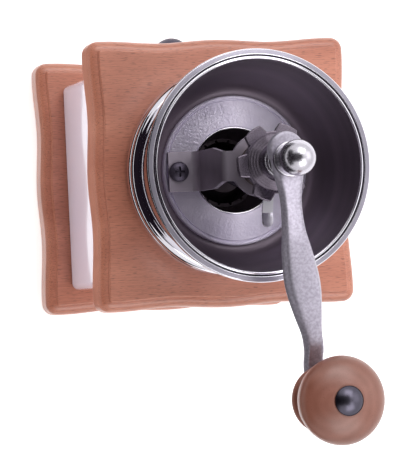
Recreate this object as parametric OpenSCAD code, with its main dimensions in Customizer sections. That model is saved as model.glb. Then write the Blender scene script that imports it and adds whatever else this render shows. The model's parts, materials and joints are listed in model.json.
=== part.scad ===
// Hand-cranked coffee grinder: two beech boards clamp a glazed ceramic body with a drawer,
// and a chromed hopper on the top board carries the bracket, burrs, star nut and crank.
// +Z is up, the drawer faces -Y, and the origin is the centre of the base board's underside.

/* [Boards] */
// Width of the square base board and top board
board_w = 110; // [104:1:124]
// Thickness of each board
board_t = 15; // [13:0.5:20]
// Radius of the boards' corners
board_corner_r = 5; // [4.5:0.5:9]
// Rounding along the boards' edges
board_edge_r = 4; // [1:0.5:4]
// Depth of the waves along each side
wave_depth = 1.15; // [0.2:0.05:2]
// Distance from a corner to the last crest of the wave
wave_end = 7.5; // [5:0.5:12]

/* [Ceramic body] */
// Width of the square body
body_w = 89; // [87:1:98]
// Height of the body between the boards
body_h = 73; // [68:1:95]
// Wall of the body
body_wall = 6; // [4:0.5:7]
// Radius of the body's upright corners
body_corner_r = 3; // [2.5:0.5:8]
// Rounding of the body's top and bottom edges
body_edge_r = 1; // [0.5:0.5:2]

/* [Tie screws] */
// Diameter of the four long screws that clamp the boards together
tie_d = 4; // [3:0.5:5]
// Distance from the body's inner wall to a tie screw's axis
tie_inset = 4; // [3.5:0.5:5]
// Depth of the threaded inserts in the top board
insert_depth = 10; // [6:0.5:11]

/* [Drawer] */
// Width of the ceramic on each side of the opening
opening_side = 12.5; // [12:0.5:18]
// Height of the opening in the body
opening_h = 32; // [26:1:40]
// Height of the ceramic sill under the opening
opening_sill = 4; // [3:0.5:8]
// Wall of the drawer box
drawer_wall = 4; // [3:0.5:6]
// Thickness of the drawer's plywood floor
drawer_floor_t = 3; // [2:0.5:4]
// Thickness of the drawer front
drawer_front_t = 8; // [6:0.5:10]
// Room behind the drawer box inside the body
drawer_back_gap = 7; // [5:0.5:20]
// Drop from the top of the drawer front to the rim of the drawer box
drawer_rim_drop = 5; // [3:0.5:8]
// Diameter of the drawer knob
pull_d = 17; // [12:0.5:20]
// Reach of the drawer knob in front of the drawer front
pull_reach = 18; // [13:0.5:20]
// Diameter of the drawer knob's screw
pull_screw_d = 4; // [3:0.5:5]

/* [Hopper] */
// Height of the hopper's rim above the top board
hopper_h = 46.5; // [42:0.5:50]
// Outer radius of the hopper's rim
hopper_rim_r = 46; // [45:0.5:50]
// Radius of the hopper's foot bead
hopper_foot_r = 42.4; // [41:0.1:43]
// Radius of the outer shell's wall just above its beads
hopper_waist_r = 40; // [39:0.1:41]
// Width of the flat band on top of the rim
rim_band_w = 2.4; // [2:0.1:3]
// Thickness of the chromed sheet
sheet_t = 0.8; // [0.6:0.1:0.9]
// Height of the hopper plate's face above the top board
plate_h = 14; // [13:0.5:17]
// Thickness of the hopper plate
plate_t = 2.2; // [1.8:0.1:2.6]
// Radius of the hopper plate
plate_r = 30.3; // [29.5:0.1:31]
// Radius of the feed hole in the hopper plate
feed_r = 17; // [15:0.5:18]

/* [Burrs] */
// Outer radius of the burr housing's neck
neck_r = 19.5; // [19:0.1:19.8]
// How far the neck reaches below the top board
neck_drop = 3.2; // [2:0.1:8]
// Outer radius of the ring burr
ring_burr_r = 15.9; // [15.5:0.1:16]
// Height of the ring burr
ring_burr_h = 16.2; // [14:0.1:17]
// Radius of the ring burr's mouth at its lower edge
ring_mouth_r = 14; // [13.8:0.1:14.2]
// Grinding gap between the burrs at their lower edge
grind_gap = 0.7; // [0.5:0.05:1.2]
// Radius of the cone burr at its top
cone_top_r = 8; // [7:0.5:9]
// Number of flutes in the cone burr
cone_flutes = 8; // [6:1:10]
// Number of grooves in the ring burr
ring_grooves = 16; // [12:1:20]

/* [Shaft] */
// Diameter of the drive shaft
shaft_d = 8; // [7.5:0.1:8.4]
// Diameter of the shaft's lower journal
journal_d = 7; // [6:0.1:7.2]
// Diameter of the thread under the ball nut
top_thread_d = 6; // [5:0.1:6.2]
// Distance across the two flats that key the shaft
shaft_flats = 6.4; // [6.2:0.1:7]
// Upward or downward travel of the shaft when the grind is set
lift = 0.5; // [0.2:0.05:0.6]

/* [Spring] */
// Diameter of the spring wire
wire_d = 1.4; // [1:0.1:1.6]
// Outer diameter of the spring
spring_d = 13; // [12:0.5:14]
// Number of turns in the spring
spring_turns = 7; // [5:1:9]
// Height of the spring's seat above the hopper plate
spring_seat_h = 4; // [2:0.5:8]

/* [Bracket] */
// Height of the bracket's disc above the hopper plate
bracket_h = 33.3; // [32:0.1:36]
// Thickness of the bracket's sheet
bracket_t = 1.6; // [1.2:0.1:2]
// Distance from the axis to the top of the bracket's legs
leg_x = 15; // [14.6:0.1:16]
// Distance from the axis to the bottom of the bracket's legs
leg_foot_x = 15.4; // [15.2:0.1:16.2]
// Reach of the bracket's feet from the axis
foot_x = 28.4; // [27.5:0.1:28.4]
// Width of the bracket's feet
foot_w = 16; // [13:0.5:16]
// Width of the bracket's legs at the top
leg_top_w = 11.8; // [9:0.1:12]
// Height above the plate where the bracket's legs begin to narrow
leg_taper_h = 21; // [10:0.5:24]
// Radius of the bracket's disc
disc_r = 12.5; // [11:0.1:13]
// Radius at the bracket's upper bends
bend_r = 0.8; // [0.6:0.1:1.6]
// Radius at the bends above the bracket's feet
foot_bend_r = 3; // [1:0.1:3.2]
// Distance from the axis to the bracket's screws
bracket_screw_x = 24.4; // [23.6:0.1:24.5]
// Diameter of the bracket's screws
bracket_screw_d = 4; // [3:0.1:4.2]
// Length of the bracket's screws under the head
bracket_screw_l = 26; // [22:0.5:28]

/* [Star nut] */
// Number of teeth on the star nut
star_teeth = 6; // [5:1:8]
// Radius of the star nut over its teeth
star_tip_r = 15.3; // [14.6:0.1:16]
// Radius between the star nut's teeth
star_root_r = 12.1; // [11.6:0.1:13]
// Width of a tooth at its tip
star_tooth_w = 7.7; // [6:0.1:8]
// Thickness of the star
star_t = 2; // [1.6:0.1:3]
// Height of the star above the foot of its hub
star_up = 8; // [6:0.1:10]
// Radius of the hub under the star
hub_r = 8; // [7.4:0.1:8.6]
// Turn of the star at rest in degrees
star_turn = 5.5; // [0:0.5:60]
// Radius of the star nut's ribbed boss at its top
boss_r = 7.8; // [7:0.1:8.4]
// Height of the star nut's ribbed boss
boss_h = 4.3; // [3.6:0.1:6]
// Number of ribs around the boss
boss_ribs = 4; // [3:1:5]

/* [Index plate] */
// Radius of the index plate
index_r = 8.8; // [8:0.1:9.4]
// Thickness of the index plate
index_t = 1.2; // [0.8:0.1:1.6]
// Width of the index tongue
tongue_w = 4.3; // [3:0.1:6]
// Reach of the index tongue from the axis
tongue_reach = 24.5; // [22:0.1:26]
// Distance from the axis to the tongue's first bend
tongue_flat = 13.2; // [12.8:0.1:14.5]
// Distance from the axis to the tongue's second bend
tongue_bend = 19; // [17.5:0.1:19.5]
// Downward slope of the tongue between its bends in degrees
tongue_slope = 20; // [0:1:22]

/* [Crank] */
// Distance from the shaft's axis to the knob's axis
crank_r = 93.2; // [88:0.1:105]
// Turn of the crank from the +Y axis, towards -X, in degrees
crank_angle = 8.75; // [0:0.25:20]
// Height of the spacer collar under the crank
collar_h = 7; // [5:0.1:9]
// Radius of the spacer collar's beads
collar_r = 6.9; // [6:0.1:7.5]
// Thickness of the crank's head
head_t = 4.5; // [4:0.1:6]
// Radius of the crank's rounded head
head_r = 7; // [6.4:0.1:8]
// Distance from the shaft's axis back to the centre of the head's rounding
head_back = 3.8; // [1:0.1:5]
// Drop from the crank's head to the middle of its arm
arm_drop = 9.4; // [6:0.1:12]
// Drop from the middle of the arm to the knob's seat
end_drop = 7; // [4:0.1:8]
// Half width of the arm's neck
neck_half_w = 4.2; // [3.6:0.1:5]
// Half width of the arm where it is widest
wide_half_w = 7.2; // [5.5:0.1:8]
// Half width of the arm just before the knob
slim_half_w = 4; // [3:0.1:4.5]
// Thickness of the arm at its middle
arm_t = 4.6; // [4:0.1:6]

/* [Ball nut] */
// Radius of the ball on the nut
ball_r = 6.9; // [6.5:0.1:7.5]
// Height of the ball's centre above the crank's head
ball_up = 9.6; // [9:0.1:10.2]
// Radius of the nut's skirt
skirt_r = 6.9; // [6:0.1:7.5]
// Height of the nut's skirt
skirt_h = 2.8; // [2.4:0.1:3.2]

/* [Knob] */
// Largest radius of the wooden knob
knob_r = 17; // [16:0.1:18]
// Height of the wooden knob
knob_h = 29; // [26:0.1:32]
// Height of the knob's widest part above its foot
knob_mid_h = 21.5; // [19:0.1:22.5]
// Radius of the knob's foot
knob_foot_r = 13.2; // [12:0.1:13.6]
// Radius of the groove above the knob's foot
knob_groove_r = 9.6; // [9:0.1:11]
// How full the knob swells from its groove, from a cone at 1 to an oval at 2
knob_fullness = 1.6; // [1.4:0.1:2]
// Radius of the rivet that the knob turns on
rivet_r = 3; // [2.5:0.1:3.5]
// Radius of the rivet's cap
rivet_cap_r = 5.7; // [5:0.1:6.4]

/* [Clearances] */
// Radial clearance where one piece turns or slides on another
run_gap = 0.05; // [0.02:0.01:0.1]
// Clearance between faces that turn past each other
face_gap = 0.25; // [0.2:0.05:0.35]
// Radial clearance of screws and inserts in their holes
hole_gap = 0.1; // [0.05:0.05:0.2]
// Clearance around the drawer
drawer_gap = 0.4; // [0.3:0.1:0.6]

/* [Hidden] */
$fn = 64;

// Colours
beech = "#b9785c";
beech_pale = "#d2a67f";
glaze = "#f4f2ee";
chrome = "#c9ccd2";
casting = "#b7b5bd";
dark_steel = "#5d5860";
bright_steel = "#c4c2ca";
brass = "#b59a55";

// Overlap that cutters take beyond a face
cut = 1;
// Space past the tip of a screw
tip_gap = 0.5;
// Depth of the screwdriver recesses
recess_depth = 1.3;

// Levels from the table up
z_body = board_t;
z_top = z_body + body_h;
z_deck = z_top + board_t;
z_plate = z_deck + plate_h;
z_rim = z_deck + hopper_h;
z_housing_top = z_plate - plate_t - sheet_t;
z_housing_seat = z_deck + sheet_t;
z_neck_end = z_top - neck_drop;
z_burr_top = z_neck_end + ring_burr_h;
z_disc = z_plate + bracket_h;

// Tie screws
tie_r = tie_d / 2;
tie_at = body_w / 2 - body_wall - tie_inset;
tie_head_r = 2 * tie_r;
tie_head_t = 2.6;
tie_recess = tie_head_t + 1.4;
insert_r = tie_r + 1.2;
insert_crest = 0.4;
insert_pitch = 1.6;

// Drawer
inner_w = body_w - 2 * body_wall;
opening_w = body_w - 2 * opening_side;
z_sill = z_body + opening_sill;
z_drawer = z_sill + drawer_gap;
front_w = opening_w - 2 * drawer_gap;
front_h = opening_h - 2 * drawer_gap;
front_y = -body_w / 2;
box_y = front_y + drawer_front_t;
drawer_l = inner_w / 2 - drawer_back_gap - box_y;
box_w = front_w - 2;
box_h = front_h - drawer_rim_drop;
groove_depth = 2;
floor_up = 2;
pull_z = z_drawer + front_h / 2;
pull_neck_r = pull_screw_d / 2 + 2;
pull_screw_r = pull_screw_d / 2;
pull_screw_head_t = 2;
pull_screw_in = 8;
pull_rose_w = 1.6;
pull_rose_t = 1.2;
runner_l = 2 * (tie_at - tie_r - hole_gap) - 2;
runner_ledge = 12;
runner_cheek_h = 11;

// Hopper shell and bowl
bead_r = 3.4;
bead2_r = 2.8;
bead_sink = 0.4;
rim_roll = 1.3;
rim_groove = 0.5;
bowl_bead_r = 0.65;
bowl_lip_r = hopper_rim_r - rim_band_w - rim_groove - bowl_bead_r;
lip_sink = 0.3;
bowl_r = bowl_lip_r - sheet_t / 2;
bowl_floor_r = plate_r + 0.3;
bowl_steps = 14;
lip_steps = 12;
z_bowl_floor = z_housing_top;
bowl_drop = z_rim - bowl_bead_r - lip_sink - z_bowl_floor - sheet_t;
plate_bead_r = 0.7;
plate_groove_w = 0.5;
plate_roll_r = 0.8;

// Housing and burrs
housing_r = plate_r + 0.7;
neck_bore_r = ring_burr_r + run_gap;
throat_low_r = ring_mouth_r;
bridge_t = 3.5;
bridge_screw_r = 0.9;
bridge_screw_at = (neck_r + neck_bore_r) / 2;
bridge_screw_l = 8;
bridge_screw_head_t = 1.2;
bridge_arm_w = 4;
bridge_arm_t = 2.2;
shaft_r = shaft_d / 2;
journal_r = journal_d / 2;
bush_wall = 1.6;
lower_bush_r = journal_r + bush_wall;
bridge_hub_r = lower_bush_r + 1.8;
z_bridge = z_neck_end - bridge_t;
z_bush_low = z_bridge - 1.8;
z_bush_top = z_bridge + 2.2;
nut_clear = lift + 0.3;
burr_nut_h = 2.6;
burr_nut_r = journal_r + 2.8;
z_nut = z_bush_top + nut_clear;
washer_t = 0.8;
z_burr_washer = z_nut + burr_nut_h;
z_cone = z_burr_washer + washer_t;
cone_h = z_burr_top + 0.2 - z_cone;
cone_rim_h = 1;
ring_narrow = 1.4;
ring_bore_at_cone = ring_mouth_r - ring_narrow * (z_cone + cone_rim_h - z_neck_end) / ring_burr_h;
cone_r = ring_bore_at_cone - grind_gap;
flute_w = 2.2;
flute_lean = 18;
flute_out = 0.6;
ring_groove_w = 1;
ring_groove_depth = 0.7;

// Bracket and bush
bush_r = shaft_r + 2.4;
bush_flange_r = index_r;
bush_flange_t = 5.5;
bush_drop = 1.4;
bracket_screw_r = bracket_screw_d / 2;
bracket_head_r = 2 * bracket_screw_r;
bracket_head_t = 2.3;
bend_steps = 10;

// Index plate, star nut and spacer collar
z_index = z_disc + bush_flange_t + face_gap;
z_star = z_index + index_t + face_gap;
z_boss = z_star + star_up + star_t;
z_boss_top = z_boss + boss_h;
rib_depth = 0.45;
star_root_w = star_tooth_w + 1.2;
boss_foot_r = star_root_r - 1;
z_collar = z_boss_top + lift + 0.2;
z_head = z_collar + collar_h;
z_head_top = z_head + head_t;

// Spring
wire_r = wire_d / 2;
coil_r = spring_d / 2 - wire_r;
z_spring_seat = z_plate + spring_seat_h;
spring_seat_t = 2;
spring_seat_r = spring_d / 2 + 0.3;
z_spring = z_spring_seat + spring_seat_t + wire_r + run_gap;
spring_top_gap = lift + 0.4;
spring_rise = z_disc - bracket_t - bush_drop - spring_top_gap - wire_r - z_spring;
rings_per_turn = 8;
wire_sides = 6;

// Crank, ball nut, knob and rivet
arm_rings = 39;
arm_sides = 16;
arm_square = 0.7;
arm_end_r = 6;
z_arm_end = z_head_top - arm_drop - end_drop;
arm_end_t = 4.5;
groove_w = 0.5;
ball_pip_r = 1.3;
z_washer = z_arm_end;
knob_washer_r = 7;
z_knob = z_washer + washer_t + face_gap;
knob_top_r = rivet_cap_r + 0.8;
knob_mid_to_top = knob_h - knob_mid_h;
knob_foot_h = 3.4;
knob_groove_h = 1.4;
knob_steps = 12;
z_rivet_cap = z_knob + knob_h + face_gap;
rivet_cap_h = 2.4;
rivet_foot_t = 2;
rivet_foot_r = rivet_r + 1.8;
top_thread_r = top_thread_d / 2;
top_thread_l = 11.5;
shaft_low = 1.4;

// A rectangle with round corners, centred on the origin
module round_rect(w, h, r) {
  square([w - 2 * r, h], center = true);
  square([w, h - 2 * r], center = true);
  for (x = [-1, 1], y = [-1, 1])
    translate([x * (w / 2 - r), y * (h / 2 - r)]) circle(r);
}

// An upright block standing on z = 0, with upright corners of radius vr and edges of radius er
module round_block(w, h, vr, er) {
  for (turn = [0, 90])
    rotate([90, 0, 90 + turn])
      translate([0, h / 2, -(w / 2 - vr)])
        linear_extrude(w - 2 * vr) round_rect(w, h, er);
  for (x = [-1, 1], y = [-1, 1])
    translate([x * (w / 2 - vr), y * (w / 2 - vr), 0])
      rotate_extrude()
        intersection() {
          translate([0, h / 2]) round_rect(2 * vr, h, er);
          square([vr, h]);
        }
}

// Copies at the four tie screws
module at_ties() {
  for (x = [-1, 1], y = [-1, 1])
    translate([x * tie_at, y * tie_at, 0]) children();
}

// Copies at the bracket's two screws
module at_bracket_screws() {
  for (x = [-1, 1])
    translate([x * bracket_screw_x, 0, 0]) children();
}

// Copies at the three screws of the lower bridge
module at_bridge_screws() {
  for (i = [0:2])
    rotate(i * 120 + 90) translate([bridge_screw_at, 0, 0]) children();
}

// Turns its children from the +X axis to the crank's direction
module along_crank() {
  rotate(90 + crank_angle) children();
}

// The keyed section of the shaft: a round bar with two flats
module keyed_round(r, flats) {
  intersection() {
    circle(r);
    square([2 * r + cut, flats], center = true);
  }
}

// A cross-shaped recess for a screwdriver
module cross_recess(size, depth) {
  for (turn = [0, 90])
    rotate(turn)
      translate([-size / 2, -size / 10, -depth]) cube([size, size / 5, depth + cut]);
}

// Wavy outline of a board, drawn in by d all round
wave_len = (board_w - 2 * wave_end) / 2;
side_steps = 18;
corner_steps = 4;
side_half = board_w / 2 - board_corner_r;
function wave_in(s) = wave_depth / 2 * (1 - cos(360 * s / wave_len));
function side_point(s, d) = [board_w / 2 - wave_in(s) - d, s];
function corner_point(a, d) = let(r = board_corner_r - wave_in(side_half) - d)
  [side_half + r * cos(a), side_half + r * sin(a)];
function turned(p, a) = [p[0] * cos(a) - p[1] * sin(a), p[0] * sin(a) + p[1] * cos(a)];
function board_side(d) = concat(
  [for (i = [0:side_steps]) side_point(side_half * (2 * i / side_steps - 1), d)],
  [for (i = [1:corner_steps - 1]) corner_point(90 * i / corner_steps, d)]);
function board_ring(d, z) = [for (side = [0:3], p = board_side(d))
  let(q = turned(p, 90 * side)) [q[0], q[1], z]];

// A closed skin over rings of equally many points, with flat ends
module skin(rings) {
  n = len(rings[0]);
  m = len(rings);
  points = [for (ring = rings, p = ring) p];
  ends = [[for (j = [0:n - 1]) n - 1 - j], [for (j = [0:n - 1]) (m - 1) * n + j]];
  walls = [for (i = [0:m - 2], j = [0:n - 1]) let(k = (j + 1) % n)
    each [[i * n + j, i * n + k, (i + 1) * n + k], [i * n + j, (i + 1) * n + k, (i + 1) * n + j]]];
  polyhedron(points, [for (face = concat(ends, walls)) [for (j = [len(face) - 1:-1:0]) face[j]]]);
}

// A board with wavy sides and rounded edges, standing on z = 0
edge_steps = 3;
function edge_in(a) = board_edge_r * (1 - sin(a));
function edge_up(a) = board_edge_r * (1 - cos(a));
module wavy_board() {
  lower = [for (i = [0:edge_steps]) let(a = 90 * i / edge_steps) board_ring(edge_in(a), edge_up(a))];
  upper = [for (i = [edge_steps:-1:0]) let(a = 90 * i / edge_steps)
    board_ring(edge_in(a), board_t - edge_up(a))];
  skin(concat(lower, upper));
}

// Base board, with the tie screws sunk into its underside
module base_board() {
  color(beech) difference() {
    wavy_board();
    at_ties() {
      translate([0, 0, -cut]) cylinder(r = tie_r + hole_gap, h = board_t + 2 * cut);
      translate([0, 0, -cut]) cylinder(r = tie_head_r + hole_gap, h = tie_recess + cut);
    }
  }
}

// Glazed ceramic body, open at the top and bottom and at the drawer
module ceramic_body() {
  color(glaze) translate([0, 0, z_body]) difference() {
    round_block(body_w, body_h, body_corner_r, body_edge_r);
    translate([0, 0, -cut])
      linear_extrude(body_h + 2 * cut)
        round_rect(inner_w, inner_w, max(body_corner_r - body_wall, 1));
    translate([0, -body_w / 2 + body_wall + cut, opening_sill + opening_h / 2])
      rotate([90, 0, 0])
        linear_extrude(body_wall + 2 * cut) round_rect(opening_w, opening_h, 1);
  }
}

// Top board, with the neck's hole, the insert holes and the bracket screws' holes
module top_board() {
  color(beech) translate([0, 0, z_top]) difference() {
    wavy_board();
    translate([0, 0, -cut]) cylinder(r = neck_r + hole_gap, h = board_t + 2 * cut);
    at_ties() translate([0, 0, -cut])
      cylinder(r = insert_r + insert_crest + run_gap, h = insert_depth + tip_gap + cut);
    at_bracket_screws()
      translate([0, 0, z_plate + bracket_t - bracket_screw_l - z_top - cut])
        cylinder(r = bracket_screw_r + run_gap, h = board_t + bracket_screw_l);
  }
}

// Four long screws from the base board up into the inserts
module tie_screws() {
  z_tip = z_top + insert_depth - tip_gap;
  color(bright_steel) at_ties() difference() {
    union() {
      translate([0, 0, tie_recess]) cylinder(r = tie_r, h = z_tip - tie_recess);
      translate([0, 0, tie_recess - tie_head_t]) cylinder(r = tie_head_r, h = tie_head_t);
    }
    translate([0, 0, tie_recess - tie_head_t]) rotate([180, 0, 0]) cross_recess(tie_head_r, recess_depth);
  }
}

// Four threaded inserts in the top board
module tie_inserts() {
  color(brass) at_ties() translate([0, 0, z_top]) difference() {
    union() {
      cylinder(r = insert_r, h = insert_depth);
      for (z = [insert_crest:insert_pitch:insert_depth - insert_pitch])
        translate([0, 0, z]) cylinder(r = insert_r + insert_crest, h = insert_pitch / 2);
    }
    translate([0, 0, -cut]) cylinder(r = tie_r + run_gap, h = insert_depth + 2 * cut);
  }
}

// Two wooden runners on the base board, each a ledge under the drawer and a cheek beside it
module drawer_runners() {
  inside = box_w / 2 + drawer_gap;
  outside = inner_w / 2 - drawer_gap;
  color(beech_pale) for (side = [0, 1])
    mirror([side, 0, 0]) translate([0, runner_l / 2, z_body]) rotate([90, 0, 0])
      linear_extrude(runner_l)
        polygon([[inside - runner_ledge, 0], [outside, 0],
                 [outside, opening_sill + runner_cheek_h], [inside, opening_sill + runner_cheek_h],
                 [inside, opening_sill], [inside - runner_ledge, opening_sill]]);
}

// Drawer front, flush in the body's opening
module drawer_front() {
  color(beech) difference() {
    translate([0, box_y, pull_z]) rotate([90, 0, 0])
      linear_extrude(drawer_front_t) round_rect(front_w, front_h, 1);
    translate([0, box_y + cut, pull_z]) rotate([90, 0, 0])
      cylinder(r = pull_screw_r + hole_gap, h = drawer_front_t + 2 * cut);
  }
}

// Drawer box of two sides, a back and a batten behind the front, grooved for the floor
module drawer_box() {
  color(beech_pale) translate([0, box_y, z_drawer]) difference() {
    translate([-box_w / 2, 0, 0]) cube([box_w, drawer_l, box_h]);
    translate([-box_w / 2 + drawer_wall, drawer_wall, -cut])
      cube([box_w - 2 * drawer_wall, drawer_l - 2 * drawer_wall, box_h + 2 * cut]);
    translate([-box_w / 2 + drawer_wall - groove_depth, drawer_wall - groove_depth, floor_up])
      cube([box_w - 2 * (drawer_wall - groove_depth),
            drawer_l - 2 * (drawer_wall - groove_depth), drawer_floor_t]);
    translate([0, -cut, pull_z - z_drawer]) rotate([-90, 0, 0])
      cylinder(r = pull_screw_r + hole_gap, h = drawer_wall + 2 * cut);
  }
}

// Plywood floor held in the drawer box's grooves
module drawer_floor() {
  w = box_w - 2 * (drawer_wall - groove_depth) - 2 * hole_gap;
  l = drawer_l - 2 * (drawer_wall - groove_depth) - 2 * hole_gap;
  color(beech_pale)
    translate([-w / 2, box_y + drawer_wall - groove_depth + hole_gap, z_drawer + floor_up + hole_gap])
      cube([w, l, drawer_floor_t - 2 * hole_gap]);
}

// Turned metal knob on the drawer front
module drawer_knob() {
  r = pull_d / 2;
  stem = pull_reach - r * 1.3;
  color(chrome) translate([0, front_y, pull_z]) rotate([90, 0, 0]) difference() {
    rotate_extrude() difference() {
      union() {
        square([pull_neck_r, pull_reach - r / 2]);
        square([pull_neck_r + pull_rose_w, pull_rose_t]);
        intersection() {
          translate([0, pull_reach - r]) circle(r);
          translate([0, stem]) square([r, pull_reach]);
        }
      }
      translate([-r, -cut]) square([r, pull_reach + 2 * cut]);
    }
    translate([0, 0, -cut]) cylinder(r = pull_screw_r + run_gap, h = pull_screw_in + tip_gap + cut);
  }
}

// Screw from inside the drawer into its knob
module drawer_knob_screw() {
  head_y = box_y + drawer_wall;
  color(bright_steel) translate([0, head_y, pull_z]) rotate([90, 0, 0]) difference() {
    union() {
      cylinder(r = pull_screw_r, h = drawer_wall + drawer_front_t + pull_screw_in);
      translate([0, 0, -pull_screw_head_t]) cylinder(r = 2 * pull_screw_r, h = pull_screw_head_t);
    }
    translate([0, 0, -pull_screw_head_t]) rotate([180, 0, 0]) cross_recess(2 * pull_screw_r, recess_depth);
  }
}

// Profile of the hopper's outer shell: floor, two beads, flaring wall and rolled rim
module shell_profile() {
  z_wall = 2 * bead_r + 2 * bead2_r - 2 * bead_sink;
  wall_top_r = hopper_rim_r - rim_roll;
  z_roll = hopper_h - rim_roll;
  bead2_x = hopper_foot_r - bead2_r;
  translate([neck_r + hole_gap, 0]) square([hopper_foot_r - bead_r - neck_r - hole_gap, sheet_t]);
  translate([hopper_foot_r - bead_r, bead_r]) circle(bead_r);
  translate([bead2_x, 2 * bead_r - bead_sink + bead2_r]) circle(bead2_r);
  polygon([[hopper_waist_r - sheet_t, 2 * bead_r], [hopper_waist_r, 2 * bead_r], [hopper_waist_r, z_wall],
           [wall_top_r, z_roll], [wall_top_r - sheet_t, z_roll], [hopper_waist_r - sheet_t, z_wall]]);
  translate([hopper_rim_r - rim_roll, z_roll]) circle(rim_roll);
  translate([hopper_rim_r - rim_band_w, hopper_h - 2 * rim_roll])
    square([rim_band_w - rim_roll, 2 * rim_roll]);
}

// Chromed outer shell of the hopper
module hopper_shell() {
  color(chrome) translate([0, 0, z_deck]) difference() {
    rotate_extrude() shell_profile();
    at_bracket_screws() translate([0, 0, -cut])
      cylinder(r = bracket_screw_r + hole_gap, h = sheet_t + 2 * cut);
  }
}

// Profile of the bowl: a quarter ellipse from the floor up to the lip bead
function bowl_point(a, t) = [bowl_floor_r + (bowl_r - bowl_floor_r) * sin(a) + t * sin(a),
                             z_bowl_floor + sheet_t + bowl_drop * (1 - cos(a)) - t * cos(a)];
module bowl_profile() {
  inner = [for (i = [0:bowl_steps]) bowl_point(90 * i / bowl_steps, 0)];
  outer = [for (i = [bowl_steps:-1:0]) bowl_point(90 * i / bowl_steps, sheet_t)];
  low_a = asin(lip_sink / bowl_bead_r);
  lip = [for (i = [0:lip_steps]) let(a = 180 + low_a - (180 + 2 * low_a) * i / lip_steps)
    [bowl_lip_r + bowl_bead_r * cos(a), z_rim - bowl_bead_r + bowl_bead_r * sin(a)]];
  hole_r = feed_r + plate_roll_r;
  polygon(concat([[hole_r, z_bowl_floor + sheet_t]], inner, lip, outer, [[hole_r, z_bowl_floor]]));
}

// Chromed bowl that lines the hopper
module hopper_bowl() {
  color(chrome) difference() {
    rotate_extrude() bowl_profile();
    at_bracket_screws() translate([0, 0, z_bowl_floor - cut])
      cylinder(r = bracket_screw_r + hole_gap, h = sheet_t + 2 * cut);
  }
}

// Cast plate on the bowl's floor, with a bead round its edge and a rolled feed hole
module hopper_plate() {
  flat_w = plate_r - 2 * plate_bead_r - plate_groove_w - feed_r - plate_roll_r;
  color(casting) translate([0, 0, z_plate - plate_t]) difference() {
    rotate_extrude() {
      translate([feed_r + plate_roll_r, 0]) square([flat_w, plate_t]);
      translate([feed_r + plate_roll_r, plate_t - plate_roll_r]) circle(plate_roll_r);
      translate([feed_r, 0]) square([plate_roll_r, plate_t - plate_roll_r]);
      translate([feed_r + plate_roll_r, 0])
        square([plate_r - feed_r - plate_roll_r, plate_t - plate_bead_r]);
      translate([plate_r - plate_bead_r, plate_t - plate_bead_r]) circle(plate_bead_r);
    }
    at_bracket_screws() translate([0, 0, -cut])
      cylinder(r = bracket_screw_r + hole_gap, h = plate_t + 2 * cut);
  }
}

// Cast housing: a flange under the bowl and a neck through the top board around the ring burr
module burr_housing() {
  color(casting) difference() {
    rotate_extrude()
      polygon([[neck_bore_r, z_neck_end], [neck_r, z_neck_end], [neck_r, z_housing_seat],
               [housing_r, z_housing_seat], [housing_r, z_housing_top], [feed_r, z_housing_top],
               [throat_low_r, z_burr_top + run_gap], [neck_bore_r, z_burr_top + run_gap]]);
    at_bracket_screws() translate([0, 0, z_housing_seat - cut])
      cylinder(r = bracket_screw_r + hole_gap, h = z_housing_top - z_housing_seat + 2 * cut);
    at_bridge_screws() translate([0, 0, z_neck_end - cut])
      cylinder(r = bridge_screw_r + run_gap, h = bridge_screw_l + cut);
  }
}

// Ring burr with upright grooves in its tapered bore
module outer_burr() {
  color(dark_steel) translate([0, 0, z_neck_end]) difference() {
    rotate_extrude()
      polygon([[ring_mouth_r, 0], [ring_burr_r, 0], [ring_burr_r, ring_burr_h],
               [ring_mouth_r - ring_narrow, ring_burr_h]]);
    for (i = [0:ring_grooves - 1])
      rotate(360 / ring_grooves * i)
        translate([ring_mouth_r - ring_narrow, 0, ring_burr_h / 2]) rotate([flute_lean, 0, 0])
          cube([2 * ring_groove_depth, ring_groove_w, 2 * ring_burr_h], center = true);
  }
}

// Spoked bridge under the neck that holds the ring burr and the lower bush
module lower_bridge() {
  color(casting) difference() {
    union() {
      translate([0, 0, z_bridge]) difference() {
        cylinder(r = neck_r, h = bridge_t);
        translate([0, 0, -cut]) cylinder(r = ring_mouth_r, h = bridge_t + 2 * cut);
      }
      for (i = [0:2])
        rotate(i * 120 + 30) translate([lower_bush_r + 0.5, -bridge_arm_w / 2, z_bridge])
          cube([ring_mouth_r - lower_bush_r, bridge_arm_w, bridge_arm_t]);
      translate([0, 0, z_bush_low]) cylinder(r = bridge_hub_r, h = z_bridge + bridge_arm_t - z_bush_low);
    }
    translate([0, 0, z_bush_low - cut]) cylinder(r = lower_bush_r + run_gap, h = 2 * bridge_t + 2 * cut);
    at_bridge_screws() translate([0, 0, z_bridge - cut])
      cylinder(r = bridge_screw_r + hole_gap, h = bridge_t + 2 * cut);
  }
}

// Three small screws that hold the bridge to the neck
module bridge_screws() {
  z_tip = z_neck_end + bridge_screw_l - tip_gap;
  color(bright_steel) at_bridge_screws() {
    translate([0, 0, z_bridge]) cylinder(r = bridge_screw_r, h = z_tip - z_bridge);
    translate([0, 0, z_bridge - bridge_screw_head_t])
      cylinder(r = 1.8 * bridge_screw_r, h = bridge_screw_head_t);
  }
}

// Plain bush for the shaft's lower journal
module lower_bush() {
  color(brass) translate([0, 0, z_bush_low]) difference() {
    cylinder(r = lower_bush_r, h = z_bush_top - z_bush_low);
    translate([0, 0, -cut]) cylinder(r = journal_r + run_gap, h = z_bush_top - z_bush_low + 2 * cut);
  }
}

// Unit vector along v
function toward(v) = v / norm(v);

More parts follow.
